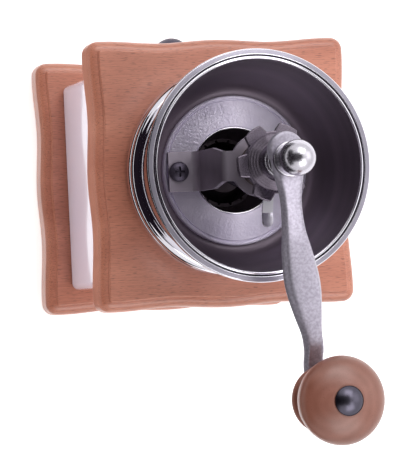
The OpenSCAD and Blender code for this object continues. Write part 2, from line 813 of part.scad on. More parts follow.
// Points of a rounded corner at c, on the way from a to b
function round_corner(a, c, b, r) = let(u = toward(a - c), v = toward(b - c), half = acos(u * v) / 2,
    centre = c + toward(u + v) * r / sin(half), side = sign(u[0] * v[1] - u[1] * v[0]),
    first = c + u * r / tan(half) - centre, start = atan2(first[1], first[0]))
  [for (i = [0:bend_steps]) let(turn = start - side * (180 - 2 * half) * i / bend_steps)
    centre + r * [cos(turn), sin(turn)]];

// Point on a side of the leaning leg at a level
function leg_side(z, out) = [leg_foot_x + (leg_x - leg_foot_x) * (z - z_plate) / bracket_h + out, z];

// Side view of half the bracket: foot, bend, leaning leg, bend and bridge
module bracket_profile() {
  half_t = bracket_t / 2;
  foot_low = [foot_x, z_plate];
  foot_high = [foot_x, z_plate + bracket_t];
  top_low = [0, z_disc - bracket_t];
  top_high = [0, z_disc];
  low_out = leg_side(z_plate, -half_t);
  low_in = leg_side(z_plate + bracket_t, half_t);
  high_in = leg_side(z_disc - bracket_t, -half_t);
  high_out = leg_side(z_disc, half_t);
  polygon(concat([foot_low], round_corner(foot_low, low_out, high_in, foot_bend_r + bracket_t),
                 round_corner(low_out, high_in, top_low, bend_r), [top_low, top_high],
                 round_corner(top_high, high_out, low_in, bend_r + bracket_t),
                 round_corner(high_out, low_in, foot_high, foot_bend_r), [foot_high]));
}

// Sheet-metal bracket that bridges the feed hole and carries the upper bush
module bracket() {
  z_taper = z_plate + leg_taper_h;
  color(dark_steel) difference() {
    union() {
      for (side = [0, 180])
        rotate(side) intersection() {
          translate([0, foot_w / 2, 0]) rotate([90, 0, 0]) linear_extrude(foot_w) bracket_profile();
          rotate([90, 0, 90]) linear_extrude(foot_x + cut)
            polygon([[-foot_w / 2, z_plate - cut], [foot_w / 2, z_plate - cut], [foot_w / 2, z_taper],
                     [leg_top_w / 2, z_disc - bracket_t], [leg_top_w / 2, z_disc + cut],
                     [-leg_top_w / 2, z_disc + cut], [-leg_top_w / 2, z_disc - bracket_t],
                     [-foot_w / 2, z_taper]]);
        }
      translate([0, 0, z_disc - bracket_t]) cylinder(r = disc_r, h = bracket_t);
    }
    translate([0, 0, z_disc - bracket_t - cut]) cylinder(r = bush_r + run_gap, h = bracket_t + 2 * cut);
    at_bracket_screws() translate([0, 0, z_plate - cut])
      cylinder(r = bracket_screw_r + hole_gap, h = bracket_t + 2 * cut);
  }
}

// Two cross-head screws through the bracket's feet into the top board
module bracket_screws() {
  z_seat = z_plate + bracket_t;
  color(dark_steel) at_bracket_screws() difference() {
    union() {
      translate([0, 0, z_seat - bracket_screw_l + tip_gap])
        cylinder(r = bracket_screw_r, h = bracket_screw_l - tip_gap);
      translate([0, 0, z_seat]) rotate_extrude() intersection() {
        translate([0, bracket_head_t - 2 * bracket_head_r]) circle(2 * bracket_head_r);
        square([bracket_head_r, bracket_head_t]);
      }
    }
    translate([0, 0, z_seat + bracket_head_t]) cross_recess(bracket_head_r, recess_depth);
  }
}

// Bush in the bracket's disc, with a wide collar that carries the index plate
module upper_bush() {
  color(brass) difference() {
    union() {
      translate([0, 0, z_disc - bracket_t - bush_drop]) cylinder(r = bush_r, h = bracket_t + bush_drop);
      translate([0, 0, z_disc]) cylinder(r = bush_flange_r, h = bush_flange_t);
    }
    translate([0, 0, z_disc - bracket_t - bush_drop - cut])
      cylinder(r = shaft_r + run_gap, h = bracket_t + bush_drop + bush_flange_t + 2 * cut);
  }
}

// Tongue of the index plate along +X: flat, bent down, then level again up to its round tip
module index_tongue() {
  drop = (tongue_bend - tongue_flat) * tan(tongue_slope);
  round_x = tongue_reach - tongue_w / 2;
  intersection() {
    translate([0, tongue_w / 2, 0]) rotate([90, 0, 0]) linear_extrude(tongue_w)
      polygon([[0, 0], [tongue_flat, 0], [tongue_bend, -drop], [tongue_reach, -drop],
               [tongue_reach, index_t - drop], [tongue_bend, index_t - drop], [tongue_flat, index_t],
               [0, index_t]]);
    translate([0, 0, -drop - cut]) linear_extrude(index_t + drop + 2 * cut) {
      translate([0, -tongue_w / 2]) square([round_x, tongue_w]);
      translate([round_x, 0]) circle(tongue_w / 2);
    }
  }
}

// Index plate keyed to the shaft, with a tongue that points out under the star nut
module index_plate() {
  color(bright_steel) translate([0, 0, z_index]) difference() {
    union() {
      cylinder(r = index_r, h = index_t);
      rotate(90) index_tongue();
    }
    along_crank() translate([0, 0, -cut])
      linear_extrude(index_t + 2 * cut) keyed_round(shaft_r + run_gap, shaft_flats + 2 * run_gap);
  }
}

// Star-shaped nut that sets the grind: hub, star and a ribbed boss that narrows upwards
module star_nut() {
  rib = boss_h / boss_ribs;
  boss_step = (boss_foot_r - boss_r) / boss_ribs;
  color(chrome) difference() {
    union() {
      translate([0, 0, z_star]) cylinder(r = hub_r, h = star_up + cut);
      translate([0, 0, z_star + star_up]) rotate(star_turn) linear_extrude(star_t) {
        circle(star_root_r);
        intersection() {
          circle(star_tip_r);
          for (i = [0:star_teeth - 1])
            rotate(360 / star_teeth * i)
              polygon([[0, -star_root_w / 2], [star_root_r, -star_root_w / 2],
                       [star_tip_r + cut, -star_tooth_w / 2], [star_tip_r + cut, star_tooth_w / 2],
                       [star_root_r, star_root_w / 2], [0, star_root_w / 2]]);
        }
      }
      translate([0, 0, z_boss]) rotate_extrude()
        for (i = [0:boss_ribs - 1]) let(wall = boss_foot_r - boss_step * (i + 0.5)) {
          translate([0, rib * i]) square([wall - rib_depth, rib]);
          translate([wall - rib / 2, rib * (i + 0.5)]) circle(d = rib);
        }
    }
    translate([0, 0, z_star - cut]) cylinder(r = shaft_r + run_gap, h = star_up + star_t + boss_h + 2 * cut);
  }
}

// Drive shaft: lower journal, round bar, keyed upper end and thread for the ball nut
module shaft() {
  z_low = z_bush_low - shaft_low;
  z_key = z_index - lift - face_gap;
  color(bright_steel) {
    translate([0, 0, z_low]) cylinder(r = journal_r, h = z_cone + cut - z_low);
    translate([0, 0, z_cone]) cylinder(r = shaft_r, h = z_key - z_cone);
    along_crank() translate([0, 0, z_key - cut])
      linear_extrude(z_head_top + cut - z_key) keyed_round(shaft_r, shaft_flats);
    translate([0, 0, z_head_top - cut]) cylinder(r = top_thread_r, h = top_thread_l + cut);
  }
}

// Fluted cone burr on the shaft
module inner_burr() {
  color(dark_steel) translate([0, 0, z_cone]) difference() {
    rotate_extrude()
      polygon([[shaft_r + run_gap, 0], [cone_r, 0], [cone_r, cone_rim_h], [cone_top_r, cone_h],
               [shaft_r + run_gap, cone_h]]);
    for (i = [0:cone_flutes - 1])
      rotate(360 / cone_flutes * i)
        translate([cone_r + flute_out, 0, cone_rim_h])
          rotate([flute_lean, -atan((cone_r - cone_top_r) / cone_h), 0])
            translate([0, 0, cone_h]) cube([flute_w, flute_w, 2 * cone_h], center = true);
  }
}

// Washer under the cone burr
module burr_washer() {
  color(bright_steel) translate([0, 0, z_burr_washer]) difference() {
    cylinder(r = burr_nut_r + 0.6, h = washer_t);
    translate([0, 0, -cut]) cylinder(r = journal_r + run_gap, h = washer_t + 2 * cut);
  }
}

// Hexagonal nut that holds the cone burr on the shaft
module burr_nut() {
  color(bright_steel) translate([0, 0, z_nut]) difference() {
    cylinder(r = burr_nut_r, h = burr_nut_h, $fn = 6);
    translate([0, 0, -cut]) cylinder(r = journal_r + run_gap, h = burr_nut_h + 2 * cut);
  }
}

// Collar on the shaft that the spring stands on
module spring_seat() {
  color(bright_steel) translate([0, 0, z_spring_seat]) difference() {
    cylinder(r = spring_seat_r, h = spring_seat_t);
    translate([0, 0, -cut]) cylinder(r = shaft_r + run_gap, h = spring_seat_t + 2 * cut);
  }
}

// Spring between the collar and the bracket's bush, one tube along a helix
function coil_point(i) = let(a = 360 * i / rings_per_turn)
  [coil_r * cos(a), coil_r * sin(a), z_spring + spring_rise * i / (rings_per_turn * spring_turns)];
function coil_ring(i) = let(p = coil_point(i), a = 360 * i / rings_per_turn)
  [for (j = [0:wire_sides - 1]) let(b = 360 * j / wire_sides)
    [p[0] + wire_r * cos(b) * cos(a), p[1] + wire_r * cos(b) * sin(a), p[2] + wire_r * sin(b)]];
coil_rings = [for (i = [0:rings_per_turn * spring_turns]) coil_ring(i)];
coil_gap = min([for (i = [0:rings_per_turn * (spring_turns - 1)], p = coil_rings[i],
                     q = coil_rings[i + rings_per_turn]) norm(p - q)]);
module shaft_spring() {
  echo(spring_least_gap_mm = coil_gap);
  color(bright_steel) skin([for (ring = coil_rings) [for (j = [wire_sides - 1:-1:0]) ring[j]]]);
}

// Spacer collar of two rounded beads between the star nut and the crank
module spacer_collar() {
  bead = collar_h / 2;
  color(chrome) translate([0, 0, z_collar]) difference() {
    rotate_extrude() {
      square([collar_r - bead / 2, collar_h]);
      for (i = [0, 1])
        translate([collar_r - bead / 2, bead * (i + 0.5)]) circle(d = bead);
    }
    along_crank() translate([0, 0, -cut])
      linear_extrude(collar_h + 2 * cut) keyed_round(shaft_r + run_gap, shaft_flats + 2 * run_gap);
  }
}

// Stations along the arm: distance from the axis, half width, level of the top and thickness
arm_mid_z = z_head_top - arm_drop;
arm_stations = [
  [-head_back, head_r, z_head_top, head_t],
  [6, head_r - 1, z_head_top - 0.4, head_t],
  [12, neck_half_w + 0.5, z_head_top - arm_drop * 0.25, arm_t + 0.3],
  [crank_r * 0.2, neck_half_w, z_head_top - arm_drop * 0.53, arm_t + 0.4],
  [crank_r * 0.29, neck_half_w + 0.6, arm_mid_z + 1.9, arm_t + 0.2],
  [crank_r * 0.365, neck_half_w + 1.8, arm_mid_z + 0.7, arm_t + 0.1],
  [crank_r * 0.48, wide_half_w, arm_mid_z + 0.1, arm_t],
  [crank_r * 0.56, wide_half_w - 0.3, arm_mid_z, arm_t],
  [crank_r * 0.645, (slim_half_w + wide_half_w) / 2, arm_mid_z - 0.3, arm_t],
  [crank_r * 0.72, slim_half_w + 0.2, arm_mid_z - 0.6, arm_t],
  [crank_r - 20, slim_half_w, arm_mid_z - end_drop * 0.24, arm_t],
  [crank_r - 15.2, slim_half_w, z_arm_end + 2, arm_t],
  [crank_r - 11.2, slim_half_w, z_arm_end + 0.3, arm_end_t],
  [crank_r, slim_half_w + 0.8, z_arm_end, arm_end_t]];
// Smooth curve through four values at equal steps
function through(p0, p1, p2, p3, t) = p1 + t / 2 * ((p2 - p0) + t * ((2 * p0 - 5 * p1 + 4 * p2 - p3)
  + t * (3 * (p1 - p2) + p3 - p0)));
arm_last = len(arm_stations) - 1;
function arm_at(u) = let(i = min(floor(u), arm_last - 1))
  through(arm_stations[max(i - 1, 0)], arm_stations[i], arm_stations[i + 1],
          arm_stations[min(i + 2, arm_last)], u - i);
function bulge(v) = sign(v) * pow(abs(v), arm_square);
function arm_ring(s) = [for (j = [0:arm_sides - 1]) let(a = 360 * j / arm_sides)
  [s[0], s[1] * bulge(cos(a)), s[2] - s[3] / 2 + s[3] / 2 * bulge(sin(a))]];

// Cast crank arm: rounded head with a keyed hole, curved arm and a round end under the knob
module crank_arm() {
  rings = [for (i = [0:arm_rings]) arm_ring(arm_at(arm_last * i / arm_rings))];
  color(casting) along_crank() difference() {
    union() {
      translate([-head_back, 0, z_head]) cylinder(r = head_r, h = head_t);
      skin(rings);
      translate([crank_r, 0, z_arm_end - arm_end_t]) cylinder(r = arm_end_r, h = arm_end_t);
    }
    translate([0, 0, z_head - cut])
      linear_extrude(head_t + 2 * cut) keyed_round(shaft_r + run_gap, shaft_flats + 2 * run_gap);
    translate([0, 0, z_head - head_t]) cylinder(r = collar_r + hole_gap, h = head_t);
    translate([crank_r, 0, z_arm_end - arm_end_t - cut])
      cylinder(r = rivet_r + run_gap, h = arm_end_t + 2 * cut);
    translate([crank_r, 0, z_washer]) cylinder(r = knob_washer_r + hole_gap, h = washer_t + cut);
  }
}

// Ball nut that holds the crank on the shaft
module acorn_nut() {
  color(chrome) translate([0, 0, z_head_top]) difference() {
    union() {
      rotate_extrude() intersection() {
        translate([0, skirt_h / 2]) round_rect(2 * skirt_r, skirt_h, 0.6);
        square([skirt_r, skirt_h]);
      }
      translate([0, 0, skirt_h - cut]) cylinder(r = ball_r * 0.8, h = groove_w + 2 * cut);
      translate([0, 0, ball_up]) sphere(ball_r);
      translate([0, 0, ball_up + ball_r - 0.4]) cylinder(r1 = ball_pip_r, r2 = ball_pip_r / 2, h = 0.8);
    }
    translate([0, 0, -cut]) cylinder(r = top_thread_r + run_gap, h = top_thread_l + tip_gap + cut);
  }
}

// Washer between the crank arm and the knob
module knob_washer() {
  color(bright_steel) along_crank() translate([crank_r, 0, z_washer]) difference() {
    cylinder(r = knob_washer_r, h = washer_t);
    translate([0, 0, -cut]) cylinder(r = rivet_r + run_gap, h = washer_t + 2 * cut);
  }
}

// Profile of the wooden knob: rounded foot, groove, swelling body and crowned top
knob_low = knob_foot_h + knob_groove_h;
function knob_wall(z) = let(u = z - knob_mid_h, end = u > 0 ? knob_top_r : knob_groove_r,
    run = u > 0 ? knob_mid_to_top : knob_mid_h - knob_low, power = u > 0 ? 2 : knob_fullness)
  knob_r * sqrt(1 - (1 - pow(end / knob_r, 2)) * pow(abs(u) / run, power));
module knob_profile() {
  body = [for (i = [0:knob_steps]) let(z = knob_low + (knob_mid_h - knob_low) * i / knob_steps)
    [knob_wall(z), z]];
  crown = [for (i = [1:knob_steps]) let(a = 90 * i / knob_steps, z = knob_mid_h + knob_mid_to_top * sin(a))
    [knob_wall(z), z]];
  polygon(concat([[0, knob_foot_h - 0.5], [knob_groove_r, knob_foot_h - 0.5]], body, crown, [[0, knob_h]]));
  square([knob_foot_r - knob_foot_h / 2, knob_foot_h]);
  translate([knob_foot_r - knob_foot_h / 2, knob_foot_h / 2]) circle(d = knob_foot_h);
}

// Turned beech knob that spins on its rivet
module knob() {
  color(beech) along_crank() translate([crank_r, 0, z_knob]) difference() {
    rotate_extrude() knob_profile();
    translate([0, 0, -cut]) cylinder(r = rivet_r + run_gap, h = knob_h + 2 * cut);
  }
}

// Rivet through the arm's end and the knob, with a domed cap on top
module knob_rivet() {
  z_foot = z_arm_end - arm_end_t - rivet_foot_t;
  cap_sphere = (pow(rivet_cap_r, 2) + pow(rivet_cap_h, 2)) / (2 * rivet_cap_h);
  color(dark_steel) along_crank() translate([crank_r, 0, 0]) {
    translate([0, 0, z_foot]) cylinder(r = rivet_foot_r, h = rivet_foot_t);
    translate([0, 0, z_foot]) cylinder(r = rivet_r, h = z_rivet_cap - z_foot + cut);
    translate([0, 0, z_rivet_cap]) rotate_extrude() intersection() {
      translate([0, rivet_cap_h - cap_sphere]) circle(cap_sphere);
      square([rivet_cap_r, rivet_cap_h]);
    }
  }
}

base_board();
ceramic_body();
top_board();
tie_screws();
tie_inserts();
drawer_runners();
drawer_front();
drawer_box();
drawer_floor();
drawer_knob();
drawer_knob_screw();
hopper_shell();
hopper_bowl();
hopper_plate();
burr_housing();
outer_burr();
lower_bridge();
bridge_screws();
lower_bush();
bracket();
bracket_screws();
upper_bush();
index_plate();
star_nut();
shaft();
inner_burr();
burr_washer();
burr_nut();
spring_seat();
shaft_spring();
spacer_collar();
crank_arm();
acorn_nut();
knob_washer();
knob();
knob_rivet();
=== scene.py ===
"""Looks of a hand-cranked coffee grinder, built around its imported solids."""

import json
import math

import bpy
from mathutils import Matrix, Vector


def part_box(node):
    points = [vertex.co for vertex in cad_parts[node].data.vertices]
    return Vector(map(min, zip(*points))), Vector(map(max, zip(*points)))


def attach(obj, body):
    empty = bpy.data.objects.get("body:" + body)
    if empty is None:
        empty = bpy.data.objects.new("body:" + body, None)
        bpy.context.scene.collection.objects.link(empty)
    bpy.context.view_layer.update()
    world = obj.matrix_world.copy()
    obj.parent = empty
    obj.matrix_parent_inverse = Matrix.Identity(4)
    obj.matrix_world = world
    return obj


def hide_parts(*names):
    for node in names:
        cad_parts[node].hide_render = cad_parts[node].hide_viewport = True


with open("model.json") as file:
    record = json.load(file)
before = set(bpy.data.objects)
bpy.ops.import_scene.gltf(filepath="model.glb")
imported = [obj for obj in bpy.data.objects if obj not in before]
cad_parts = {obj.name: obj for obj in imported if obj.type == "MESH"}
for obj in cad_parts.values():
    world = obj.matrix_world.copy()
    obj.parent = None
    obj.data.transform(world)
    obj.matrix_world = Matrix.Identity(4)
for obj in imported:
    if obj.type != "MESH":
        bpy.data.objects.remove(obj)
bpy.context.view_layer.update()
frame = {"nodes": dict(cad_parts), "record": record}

MM = 0.001
RECORD = frame["record"]
BODY_OF = {node: body for body, nodes in RECORD["behaviour"]["bodies"].items() for node in nodes}


def span(node):
    """Lowest and highest corner of a solid, in mm."""
    low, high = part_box(node)
    return Vector(low) / MM, Vector(high) / MM


def foot_of(node, x=0.0, y=0.0):
    """Where an upright axis, the shaft's unless another is given, meets the level of a solid's foot."""
    return Vector((x, y, span(node)[0].z))


# Modelling helpers, with sizes in mm

# Corners that lie closer than this are merged
WELD = 0.002
# A corner that lies closer than this to a level is on it
NEAR = 0.01
# A cutter goes past the face that it opens by this much
OVERCUT = 5.0
FLAT_ANGLE = math.radians(0.5)
SHARP_ANGLE = math.radians(35)
SMOOTH_ANGLE = math.radians(40)


def start_clean():
    """Leaves edit mode and deselects everything, so that an operator acts on the new piece alone."""
    if bpy.context.mode != "OBJECT":
        bpy.ops.object.mode_set(mode="OBJECT")
    bpy.ops.object.select_all(action="DESELECT")


def make_active(piece):
    """Selects one piece and nothing else."""
    start_clean()
    bpy.context.view_layer.objects.active = piece
    piece.select_set(True)


def pick(piece, test):
    """In edit mode, selects the vertices whose place passes the test, and what lies between them."""
    bpy.ops.mesh.select_mode(type="VERT")
    bpy.ops.mesh.select_all(action="DESELECT")
    bpy.ops.object.mode_set(mode="OBJECT")
    for vertex in piece.data.vertices:
        vertex.select = test(*(vertex.co / MM))
    bpy.ops.object.mode_set(mode="EDIT")
    bpy.ops.mesh.select_mode(type="VERT")


def arc(x, z, r, start, end, steps=10):
    """Points of a round stretch about (x, z), from one angle to another in degrees."""
    angles = [math.radians(start + (end - start) * i / steps) for i in range(steps + 1)]
    return [(x + r * math.cos(a), z + r * math.sin(a)) for a in angles]


def draw_chain(name, points):
    """A chain of edges through points, in edit mode with its last vertex selected."""
    start_clean()
    bpy.ops.mesh.primitive_plane_add(size=MM)
    piece = bpy.context.object
    piece.name = piece.data.name = name
    bpy.ops.object.mode_set(mode="EDIT")
    bpy.ops.mesh.select_mode(type="VERT")
    bpy.ops.mesh.merge(type="CENTER")
    places = [Vector(p) * MM for p in points]
    bpy.ops.transform.translate(value=places[0])
    for here, there in zip(places, places[1:]):
        bpy.ops.mesh.extrude_vertices_move(TRANSFORM_OT_translate={"value": there - here})
    return piece


def filled(name, outline):
    """One face within a closed outline, in edit mode and selected."""
    piece = draw_chain(name, outline + outline[:1])
    bpy.ops.mesh.select_all(action="SELECT")
    bpy.ops.mesh.remove_doubles(threshold=WELD * MM)
    bpy.ops.mesh.edge_face_add()
    return piece


def tidy_mesh():
    """Closes seams and poles, turns the faces outwards and leaves edit mode."""
    bpy.ops.mesh.select_all(action="SELECT")
    bpy.ops.mesh.remove_doubles(threshold=WELD * MM)
    bpy.ops.mesh.normals_make_consistent(inside=False)
    bpy.ops.object.mode_set(mode="OBJECT")


def lathe(name, outline, foot=(0, 0, 0), along=(0, 0, 1), steps=144):
    """Spins an outline of (radius, height above the foot) points about an axis through the foot."""
    foot, along = Vector(foot), Vector(along)
    out = Vector((1, 0, 0))
    piece = draw_chain(name, [foot + out * r + along * h for r, h in outline])
    bpy.ops.mesh.select_all(action="SELECT")
    bpy.ops.mesh.spin(steps=steps, angle=math.tau, center=foot * MM, axis=along)
    tidy_mesh()
    return piece


def block(name, low, high):
    """A plain block between two corners."""
    start_clean()
    bpy.ops.mesh.primitive_cube_add(size=MM, location=(low + high) / 2 * MM, scale=high - low)
    piece = bpy.context.object
    piece.name = piece.data.name = name
    bpy.ops.object.transform_apply(location=True, rotation=True, scale=True)
    return piece


def finish_with(piece, kind, **settings):
    """Adds one modifier and applies it."""
    make_active(piece)
    modifier = piece.modifiers.new(kind.title(), kind)
    for key, value in settings.items():
        setattr(modifier, key, value)
    bpy.ops.object.modifier_apply(modifier=modifier.name)


def cut(piece, cutter):
    """Takes the cutter's shape out of the piece and deletes the cutter."""
    finish_with(piece, "BOOLEAN", object=cutter, operation="DIFFERENCE", solver="EXACT")
    bpy.data.objects.remove(cutter)


def drill(piece, x, y, low, high, radius, sides=48):
    """Cuts an upright round hole between two levels."""
    start_clean()
    bpy.ops.mesh.primitive_cylinder_add(
        vertices=sides, radius=radius * MM, depth=(high - low) * MM,
        location=(x * MM, y * MM, (low + high) / 2 * MM))
    cut(piece, bpy.context.object)


def break_edges(piece, width, segments=2):
    """Rounds the sharp edges by a width."""
    finish_with(piece, "BEVEL", width=width * MM, segments=segments, limit_method="ANGLE",
                angle_limit=SHARP_ANGLE, harden_normals=False)


def copy_of(node, name, edge):
    """A merged copy of a solid with its sharp edges rounded by a width."""
    piece = bpy.data.objects.new(name, frame["nodes"][node].data.copy())
    bpy.context.scene.collection.objects.link(piece)
    make_active(piece)
    bpy.ops.object.mode_set(mode="EDIT")
    bpy.ops.mesh.select_all(action="SELECT")
    bpy.ops.mesh.remove_doubles(threshold=WELD * MM)
    bpy.ops.mesh.dissolve_limited(angle_limit=FLAT_ANGLE)
    bpy.ops.object.mode_set(mode="OBJECT")
    break_edges(piece, edge)
    return piece


def joined(*pieces):
    """Joins pieces into the first one."""
    make_active(pieces[0])
    for piece in pieces:
        piece.select_set(True)
    bpy.ops.object.join()
    return pieces[0]


def fit(piece, material, node, flat=False):
    """Gives a finished piece its material and shading, hangs it on the body it moves with and hides the
    solid it stands for.

    A piece with flat faces keeps them flat, so that only its rounded edges shade round."""
    make_active(piece)
    bpy.ops.object.transform_apply(location=True, rotation=True, scale=True)
    bpy.ops.object.shade_smooth_by_angle(angle=SMOOTH_ANGLE)
    if flat:
        finish_with(piece, "WEIGHTED_NORMAL", keep_sharp=True)
    piece.data.materials.clear()
    piece.data.materials.append(material)
    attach(piece, BODY_OF[node])
    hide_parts(node)


def reface(piece, material, test):
    """Gives the faces between the vertices that pass the test another material."""
    piece.data.materials.append(material)
    make_active(piece)
    bpy.ops.object.mode_set(mode="EDIT")
    pick(piece, test)
    piece.active_material_index = len(piece.data.materials) - 1
    bpy.ops.object.material_slot_assign()
    bpy.ops.object.mode_set(mode="OBJECT")


def paint(material, *nodes):
    """Gives solids that keep their own shape a material."""
    for node in nodes:
        solid = frame["nodes"][node]
        solid.data.materials.clear()
        solid.data.materials.append(material)


# Materials

# Sockets of a Mix node that mixes colours
FACTOR, FIRST, SECOND, MIXED = 0, 6, 7, 2
# Range that holds most of what a noise gives
MOST = {"From Min": 0.3, "From Max": 0.7}
# A Wave node of scale 1 repeats at this length
WAVE_LENGTH = math.tau / 20


def linear(code):
    """An sRGB hex colour as linear RGBA."""
    parts = [int(code[i:i + 2], 16) / 255 for i in (1, 3, 5)]
    return [p / 12.92 if p <= 0.04045 else ((p + 0.055) / 1.055) ** 2.4 for p in parts] + [1]


def add(tree, kind, inputs=None, **settings):
    """Adds one node, sets its properties, and fills or links its inputs, a node by its first output."""
    node = tree.nodes.new(kind)
    for key, value in settings.items():
        setattr(node, key, value)
    for key, value in (inputs or {}).items():
        if isinstance(value, bpy.types.Node):
            value = value.outputs[0]
        if isinstance(value, bpy.types.NodeSocket):
            tree.links.new(value, node.inputs[key])
        else:
            node.inputs[key].default_value = value
    return node


def blank_material(name):
    """A new material and its empty node tree."""
    material = bpy.data.materials.new(name)
    material.use_nodes = True
    material.node_tree.nodes.clear()
    return material, material.node_tree


def grain(tree, size, detail=3.0):
    """A noise whose marks have that size in mm along X, Y and Z."""
    place = add(tree, "ShaderNodeTexCoord").outputs["Object"]
    scaled = add(tree, "ShaderNodeMapping", {"Vector": place, "Scale": [1 / (mm * MM) for mm in size]})
    return add(tree, "ShaderNodeTexNoise", {"Vector": scaled, "Scale": 1.0, "Detail": detail})


def lacquer(tree, colours, shade, flecks, pores, coat, gloss):
    """Finishes a wood's nodes: dark to light by the shade, then flecks, with open pores under a lacquer.

    The colours are dark, light and fleck, and the lacquer has that weight and roughness."""
    dark, light, fleck = (linear(code) for code in colours)
    ground = add(tree, "ShaderNodeMix", {FACTOR: shade, FIRST: dark, SECOND: light}, data_type="RGBA")
    colour = add(tree, "ShaderNodeMix", {FACTOR: flecks, FIRST: ground.outputs[MIXED], SECOND: fleck},
                 data_type="RGBA")
    bump = add(tree, "ShaderNodeBump", {"Height": pores, "Strength": 0.12, "Distance": 0.12 * MM})
    rough = add(tree, "ShaderNodeMapRange", {"Value": pores, **MOST, "To Min": 0.5, "To Max": 0.62})
    wood = add(tree, "ShaderNodeBsdfPrincipled", {
        "Base Color": colour.outputs[MIXED], "Roughness": rough, "Normal": bump, "Specular IOR Level": 0.3,
        "Coat Weight": coat, "Coat Roughness": gloss, "Coat IOR": 1.6})
    add(tree, "ShaderNodeOutputMaterial", {"Surface": wood})


def beech(name, colours, coat, gloss):
    """Steamed beech, planed: fine straight grain along X with short dark ray flecks."""
    material, tree = blank_material(name)
    clouds = grain(tree, (60, 14, 14), 2.0)
    lines = grain(tree, (9, 0.5, 0.5), 4.0)
    rays = grain(tree, (3.2, 0.32, 0.32), 1.0)
    both = add(tree, "ShaderNodeMath", {0: clouds, 1: lines}, operation="ADD")
    shade = add(tree, "ShaderNodeMapRange", {"Value": both, "From Min": 0.65, "From Max": 1.35})
    flecks = add(tree, "ShaderNodeMapRange", {
        "Value": rays, "From Min": 0.58, "From Max": 0.7, "To Max": 0.75})
    lacquer(tree, colours, shade, flecks, lines, coat, gloss)
    return material


def turned_beech(name, colours, coat, gloss, heart, ring):
    """Beech turned along its grain: the top shows arcs of the growth rings.

    The heart is the rings' middle as (x, y) and the ring their width, in mm."""
    material, tree = blank_material(name)
    place = add(tree, "ShaderNodeTexCoord").outputs["Object"]
    centred = add(tree, "ShaderNodeMapping", {
        "Vector": place, "Location": (-heart[0] * MM, -heart[1] * MM, 0)})
    rings = add(tree, "ShaderNodeTexWave", {
        "Vector": centred, "Scale": WAVE_LENGTH / (ring * MM), "Distortion": 3.0, "Detail": 3.0,
        "Detail Scale": 0.4}, wave_type="RINGS", rings_direction="Z")
    clouds = grain(tree, (9, 9, 30), 2.0)
    pores = grain(tree, (0.5, 0.5, 6), 2.0)
    both = add(tree, "ShaderNodeMath", {0: rings.outputs["Fac"], 1: 0.16, 2: clouds},
               operation="MULTIPLY_ADD")
    shade = add(tree, "ShaderNodeMapRange", {"Value": both, "From Min": 0.35, "From Max": 0.9})
    flecks = add(tree, "ShaderNodeMapRange", {
        "Value": pores, "From Min": 0.58, "From Max": 0.75, "To Max": 0.5})
    lacquer(tree, colours, shade, flecks, pores, coat, gloss)
    return material


def glazed_ceramic(name, thin, thick):
    """Stoneware dipped in a clear glaze: high gloss, with the glaze's faint pull in its reflections."""
    material, tree = blank_material(name)
    pull = grain(tree, (9, 9, 9), 1.0)
    shade = grain(tree, (40, 40, 40), 2.0)
    colour = add(tree, "ShaderNodeMix", {FACTOR: shade, FIRST: linear(thin), SECOND: linear(thick)},
                 data_type="RGBA")
    bump = add(tree, "ShaderNodeBump", {"Height": pull, "Strength": 0.06, "Distance": 0.3 * MM})
    rough = add(tree, "ShaderNodeMapRange", {"Value": shade, **MOST, "To Min": 0.14, "To Max": 0.2})
    glaze = add(tree, "ShaderNodeBsdfPrincipled", {
        "Base Color": colour.outputs[MIXED], "Roughness": rough, "Normal": bump, "IOR": 1.6,
        "Coat Weight": 1.0, "Coat Roughness": 0.05, "Coat IOR": 1.6})
    add(tree, "ShaderNodeOutputMaterial", {"Surface": glaze})
    return material


def metal(name, colour, worn, rough, marks, bump, matte=0.0, bands=(14, 14, 14), turned=0.0):
    """A metal surface: tool marks or grit of a size in mm vary its gloss, and wider bands vary its colour.

    Rough is the range of its roughness, matte the share of scattered light, and turned the pull of marks
    that run round the shaft's axis."""
    material, tree = blank_material(name)
    grit = grain(tree, marks)
    tone = grain(tree, bands, 2.0)
    wear = add(tree, "ShaderNodeMapRange", {"Value": tone, "From Min": 0.35, "From Max": 0.65})
    tint = add(tree, "ShaderNodeMix", {FACTOR: wear, FIRST: linear(colour), SECOND: linear(worn)},
               data_type="RGBA")
    gloss = add(tree, "ShaderNodeMapRange", {"Value": grit, **MOST, "To Min": rough[0], "To Max": rough[1]})
    relief = add(tree, "ShaderNodeBump", {"Height": grit, "Strength": bump, "Distance": 0.1 * MM})
    shader = add(tree, "ShaderNodeBsdfPrincipled", {
        "Base Color": tint.outputs[MIXED], "Metallic": 1.0 - matte, "Roughness": gloss, "Normal": relief})
    if turned:
        around = add(tree, "ShaderNodeTangent", direction_type="RADIAL", axis="Z")
        tree.links.new(around.outputs[0], shader.inputs["Tangent"])
        shader.inputs["Anisotropic"].default_value = turned
        shader.inputs["Anisotropic Rotation"].default_value = 0.25
    add(tree, "ShaderNodeOutputMaterial", {"Surface": shader})
    return material


# Steamed beech, planed and lacquered: a warm satin sheen over straight grain and flecks
board_beech = beech("steamed_beech_lacquered", ("#bf7259", "#dd9176", "#985641"), 0.9, 0.28)
# The same wood, darker, turned and polished: soft wide highlights over faint growth rings
knob_beech = turned_beech("turned_beech_polished", ("#874e3b", "#9c6150", "#744232"), 1.0, 0.34,
                          heart=(-9, 93), ring=3.5)
# Beech left bare and sanded: pale and dull
bare_beech = beech("bare_beech_sanded", ("#c79a72", "#d9b28c", "#a87c58"), 0.0, 0.5)
# White stoneware, dipped in a clear glaze: a cool white under a hard gloss
stoneware = glazed_ceramic("glazed_stoneware", "#efe6fb", "#f6f0fc")
# Chrome plate, polished: a clear mirror with hardly any marks
plated = metal("polished_chrome_plate", "#eae7ee", "#e0dde6", (0.03, 0.06), (0.6, 0.6, 0.6), 0.005)
